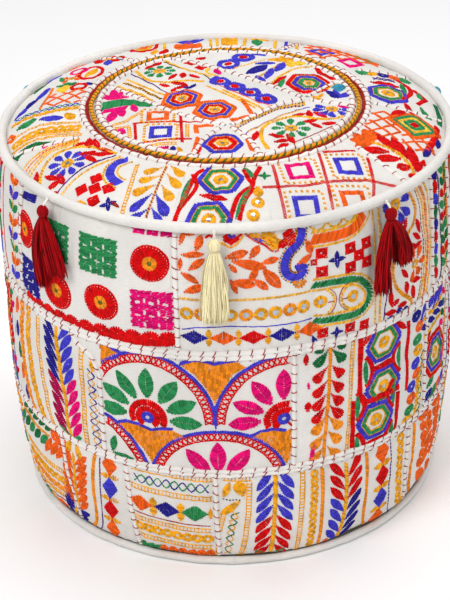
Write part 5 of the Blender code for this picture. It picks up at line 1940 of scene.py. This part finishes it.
TAPE = cloth_material("zip_tape", (0.86, 0.84, 0.78), 0.8, 0.05)
TEETH = Nodes("zip_teeth", roughness=0.4)
TEETH.colour(TEETH.ramp(TEETH.noise(300), (0.3, (0.78, 0.75, 0.66)), (0.7, (0.88, 0.86, 0.78))))
for side, node in ((-1, "zip_front_half"), (1, "zip_rear_half")):
    half = Heap()
    x = np.linspace(-125, 125, 120)
    y = np.array([2.2, 3.0, 4.2, 6.0, 8.0, 10.8])
    v, u = np.meshgrid(y, x, indexing="ij")
    for z in (4.3, 4.9):
        weave = 0.05 * np.sin(u * 3.1)
        half.put(np.stack([u, ZIP_Y + side * v, z + weave], -1).reshape(-1, 3), grid_faces(len(y), len(x)))
    for k in range(118):
        at = -118 + k * 2.0 + (0.5 if side > 0 else -0.5)
        if at > 120:
            break
        t = np.linspace(0, 2 * math.pi, 10, endpoint=False)
        path = np.stack([at + 0.25 * np.cos(t), ZIP_Y + side * (1.75 + 0.95 * np.cos(t)),
            4.6 + 0.75 * np.sin(t)], -1)
        points, faces = tube(path, 0.36, 5, closed=True)
        half.put(points, faces, 1)
    finish_piece(half.mesh(node + "_detail", [TAPE, TEETH.material]), "pouf", [node])
for node in ("zip_slider", "zip_pull_tab"):
    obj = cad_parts[node]
    obj.data.materials.clear()
    obj.data.materials.append(STEEL)


def lathe(name, material, inset, floor, node, ripple):
    """A stuffed form inside the cover, drawn in at the bottom, its cloth rippled."""
    z = np.linspace(floor + 10, 325, 60)
    side = np.stack([wall_radius(z) - inset, z], 1)
    r = np.linspace(186 - inset, 0.3, 40)
    top = np.stack([r, crown_z(r) - inset], 1)
    foot_r = np.linspace(0.3, side[0, 0] - 4, 30)
    foot = np.stack([foot_r, np.full(30, floor + 0.0) + 6 * (foot_r / foot_r.max()) ** 12], 1)
    profile = np.vstack([foot, side, top])
    angle = np.linspace(0, 2 * math.pi, 180, endpoint=False)
    dent = np.abs(soft_noise((len(profile), 180), (2, 3), len(name), False)) * ripple
    dent[:, -6:] = dent[:, -6:] * np.linspace(1, 0, 6) + dent[:, :1] * np.linspace(0, 1, 6)
    inwards = dent * np.clip(profile[:, :1] / 30, 0, 1)
    r = profile[:, :1] - inwards
    z = np.broadcast_to(profile[:, 1:], r.shape)
    points = np.stack([r * np.cos(angle), r * np.sin(angle), z], -1).reshape(-1, 3)
    uv = np.stack([r * angle, z + 0 * angle], -1).reshape(-1, 2)
    made = add_mesh(name, points, grid_faces(len(profile), 180, around=True), [material], uv=uv)
    return finish_piece(made, "pouf", [node])


FIBRE = cloth_material("fibre", (0.93, 0.92, 0.90), 1.6, 0.03)
lathe("stuffing", FIBRE, 7.0, 11.8, "filling", 0.8)
lathe("bag_cloth", CANVAS, 4.2, 9.2, "inner_bag", 0.5)


# ---------------------------------------------------------------- studio
def studio_floor():
    mesh = bpy.data.meshes.new("floor")
    mesh.from_pydata([(-30, -30, 0), (30, -30, 0), (30, 30, 0), (-30, 30, 0)], [], [(0, 1, 2, 3)])
    floor = bpy.data.objects.new("floor", mesh)
    bpy.context.scene.collection.objects.link(floor)
    paper = Nodes("paper", roughness=0.9, specular=0.1)
    paper.shader.inputs["Base Color"].default_value = (0.93, 0.93, 0.93, 1)
    mesh.materials.append(paper.material)


LIT = Vector((0, 0, 0.18))  # where the lights point, in metres


def area_light(name, place, size, power):
    light = bpy.data.lights.new(name, "AREA")
    light.size = size
    light.energy = power
    obj = bpy.data.objects.new(name, light)
    obj.location = place
    obj.rotation_euler = (LIT - Vector(place)).to_track_quat("-Z", "Y").to_euler()
    bpy.context.scene.collection.objects.link(obj)


bpy.context.scene.view_settings.view_transform = "Standard"
studio_floor()
world = bpy.data.worlds.new("studio")
bpy.context.scene.world = world
world.use_nodes = True
world.node_tree.nodes["Background"].inputs["Color"].default_value = (1, 1, 1, 1)
world.node_tree.nodes["Background"].inputs["Strength"].default_value = 0.55
area_light("key", (-1.1, -1.5, 2.1), 1.1, 34)
area_light("fill", (1.9, -1.6, 1.0), 1.8, 11)
area_light("top", (0.3, 0.5, 2.3), 1.3, 20)

CAMERA_AT = Vector((0.0, -1.5755, 1.063))
CAMERA_PITCH, CAMERA_YAW, CAMERA_ROLL = map(math.radians, (29.91, -0.15, -1.32))
lens = bpy.data.cameras.new("camera")
lens.lens = 120.3
lens.sensor_width = 36
lens.clip_start = 0.05
camera = bpy.data.objects.new("camera", lens)
forward = Vector((math.sin(CAMERA_YAW) * math.cos(CAMERA_PITCH),
    math.cos(CAMERA_YAW) * math.cos(CAMERA_PITCH), -math.sin(CAMERA_PITCH)))
level = forward.cross(Vector((0, 0, 1))).normalized()
right = level * math.cos(CAMERA_ROLL) + level.cross(forward) * math.sin(CAMERA_ROLL)
camera.rotation_euler = Matrix((right, right.cross(forward), -forward)).transposed().to_euler()
camera.location = CAMERA_AT
bpy.context.scene.collection.objects.link(camera)
bpy.context.scene.camera = camera
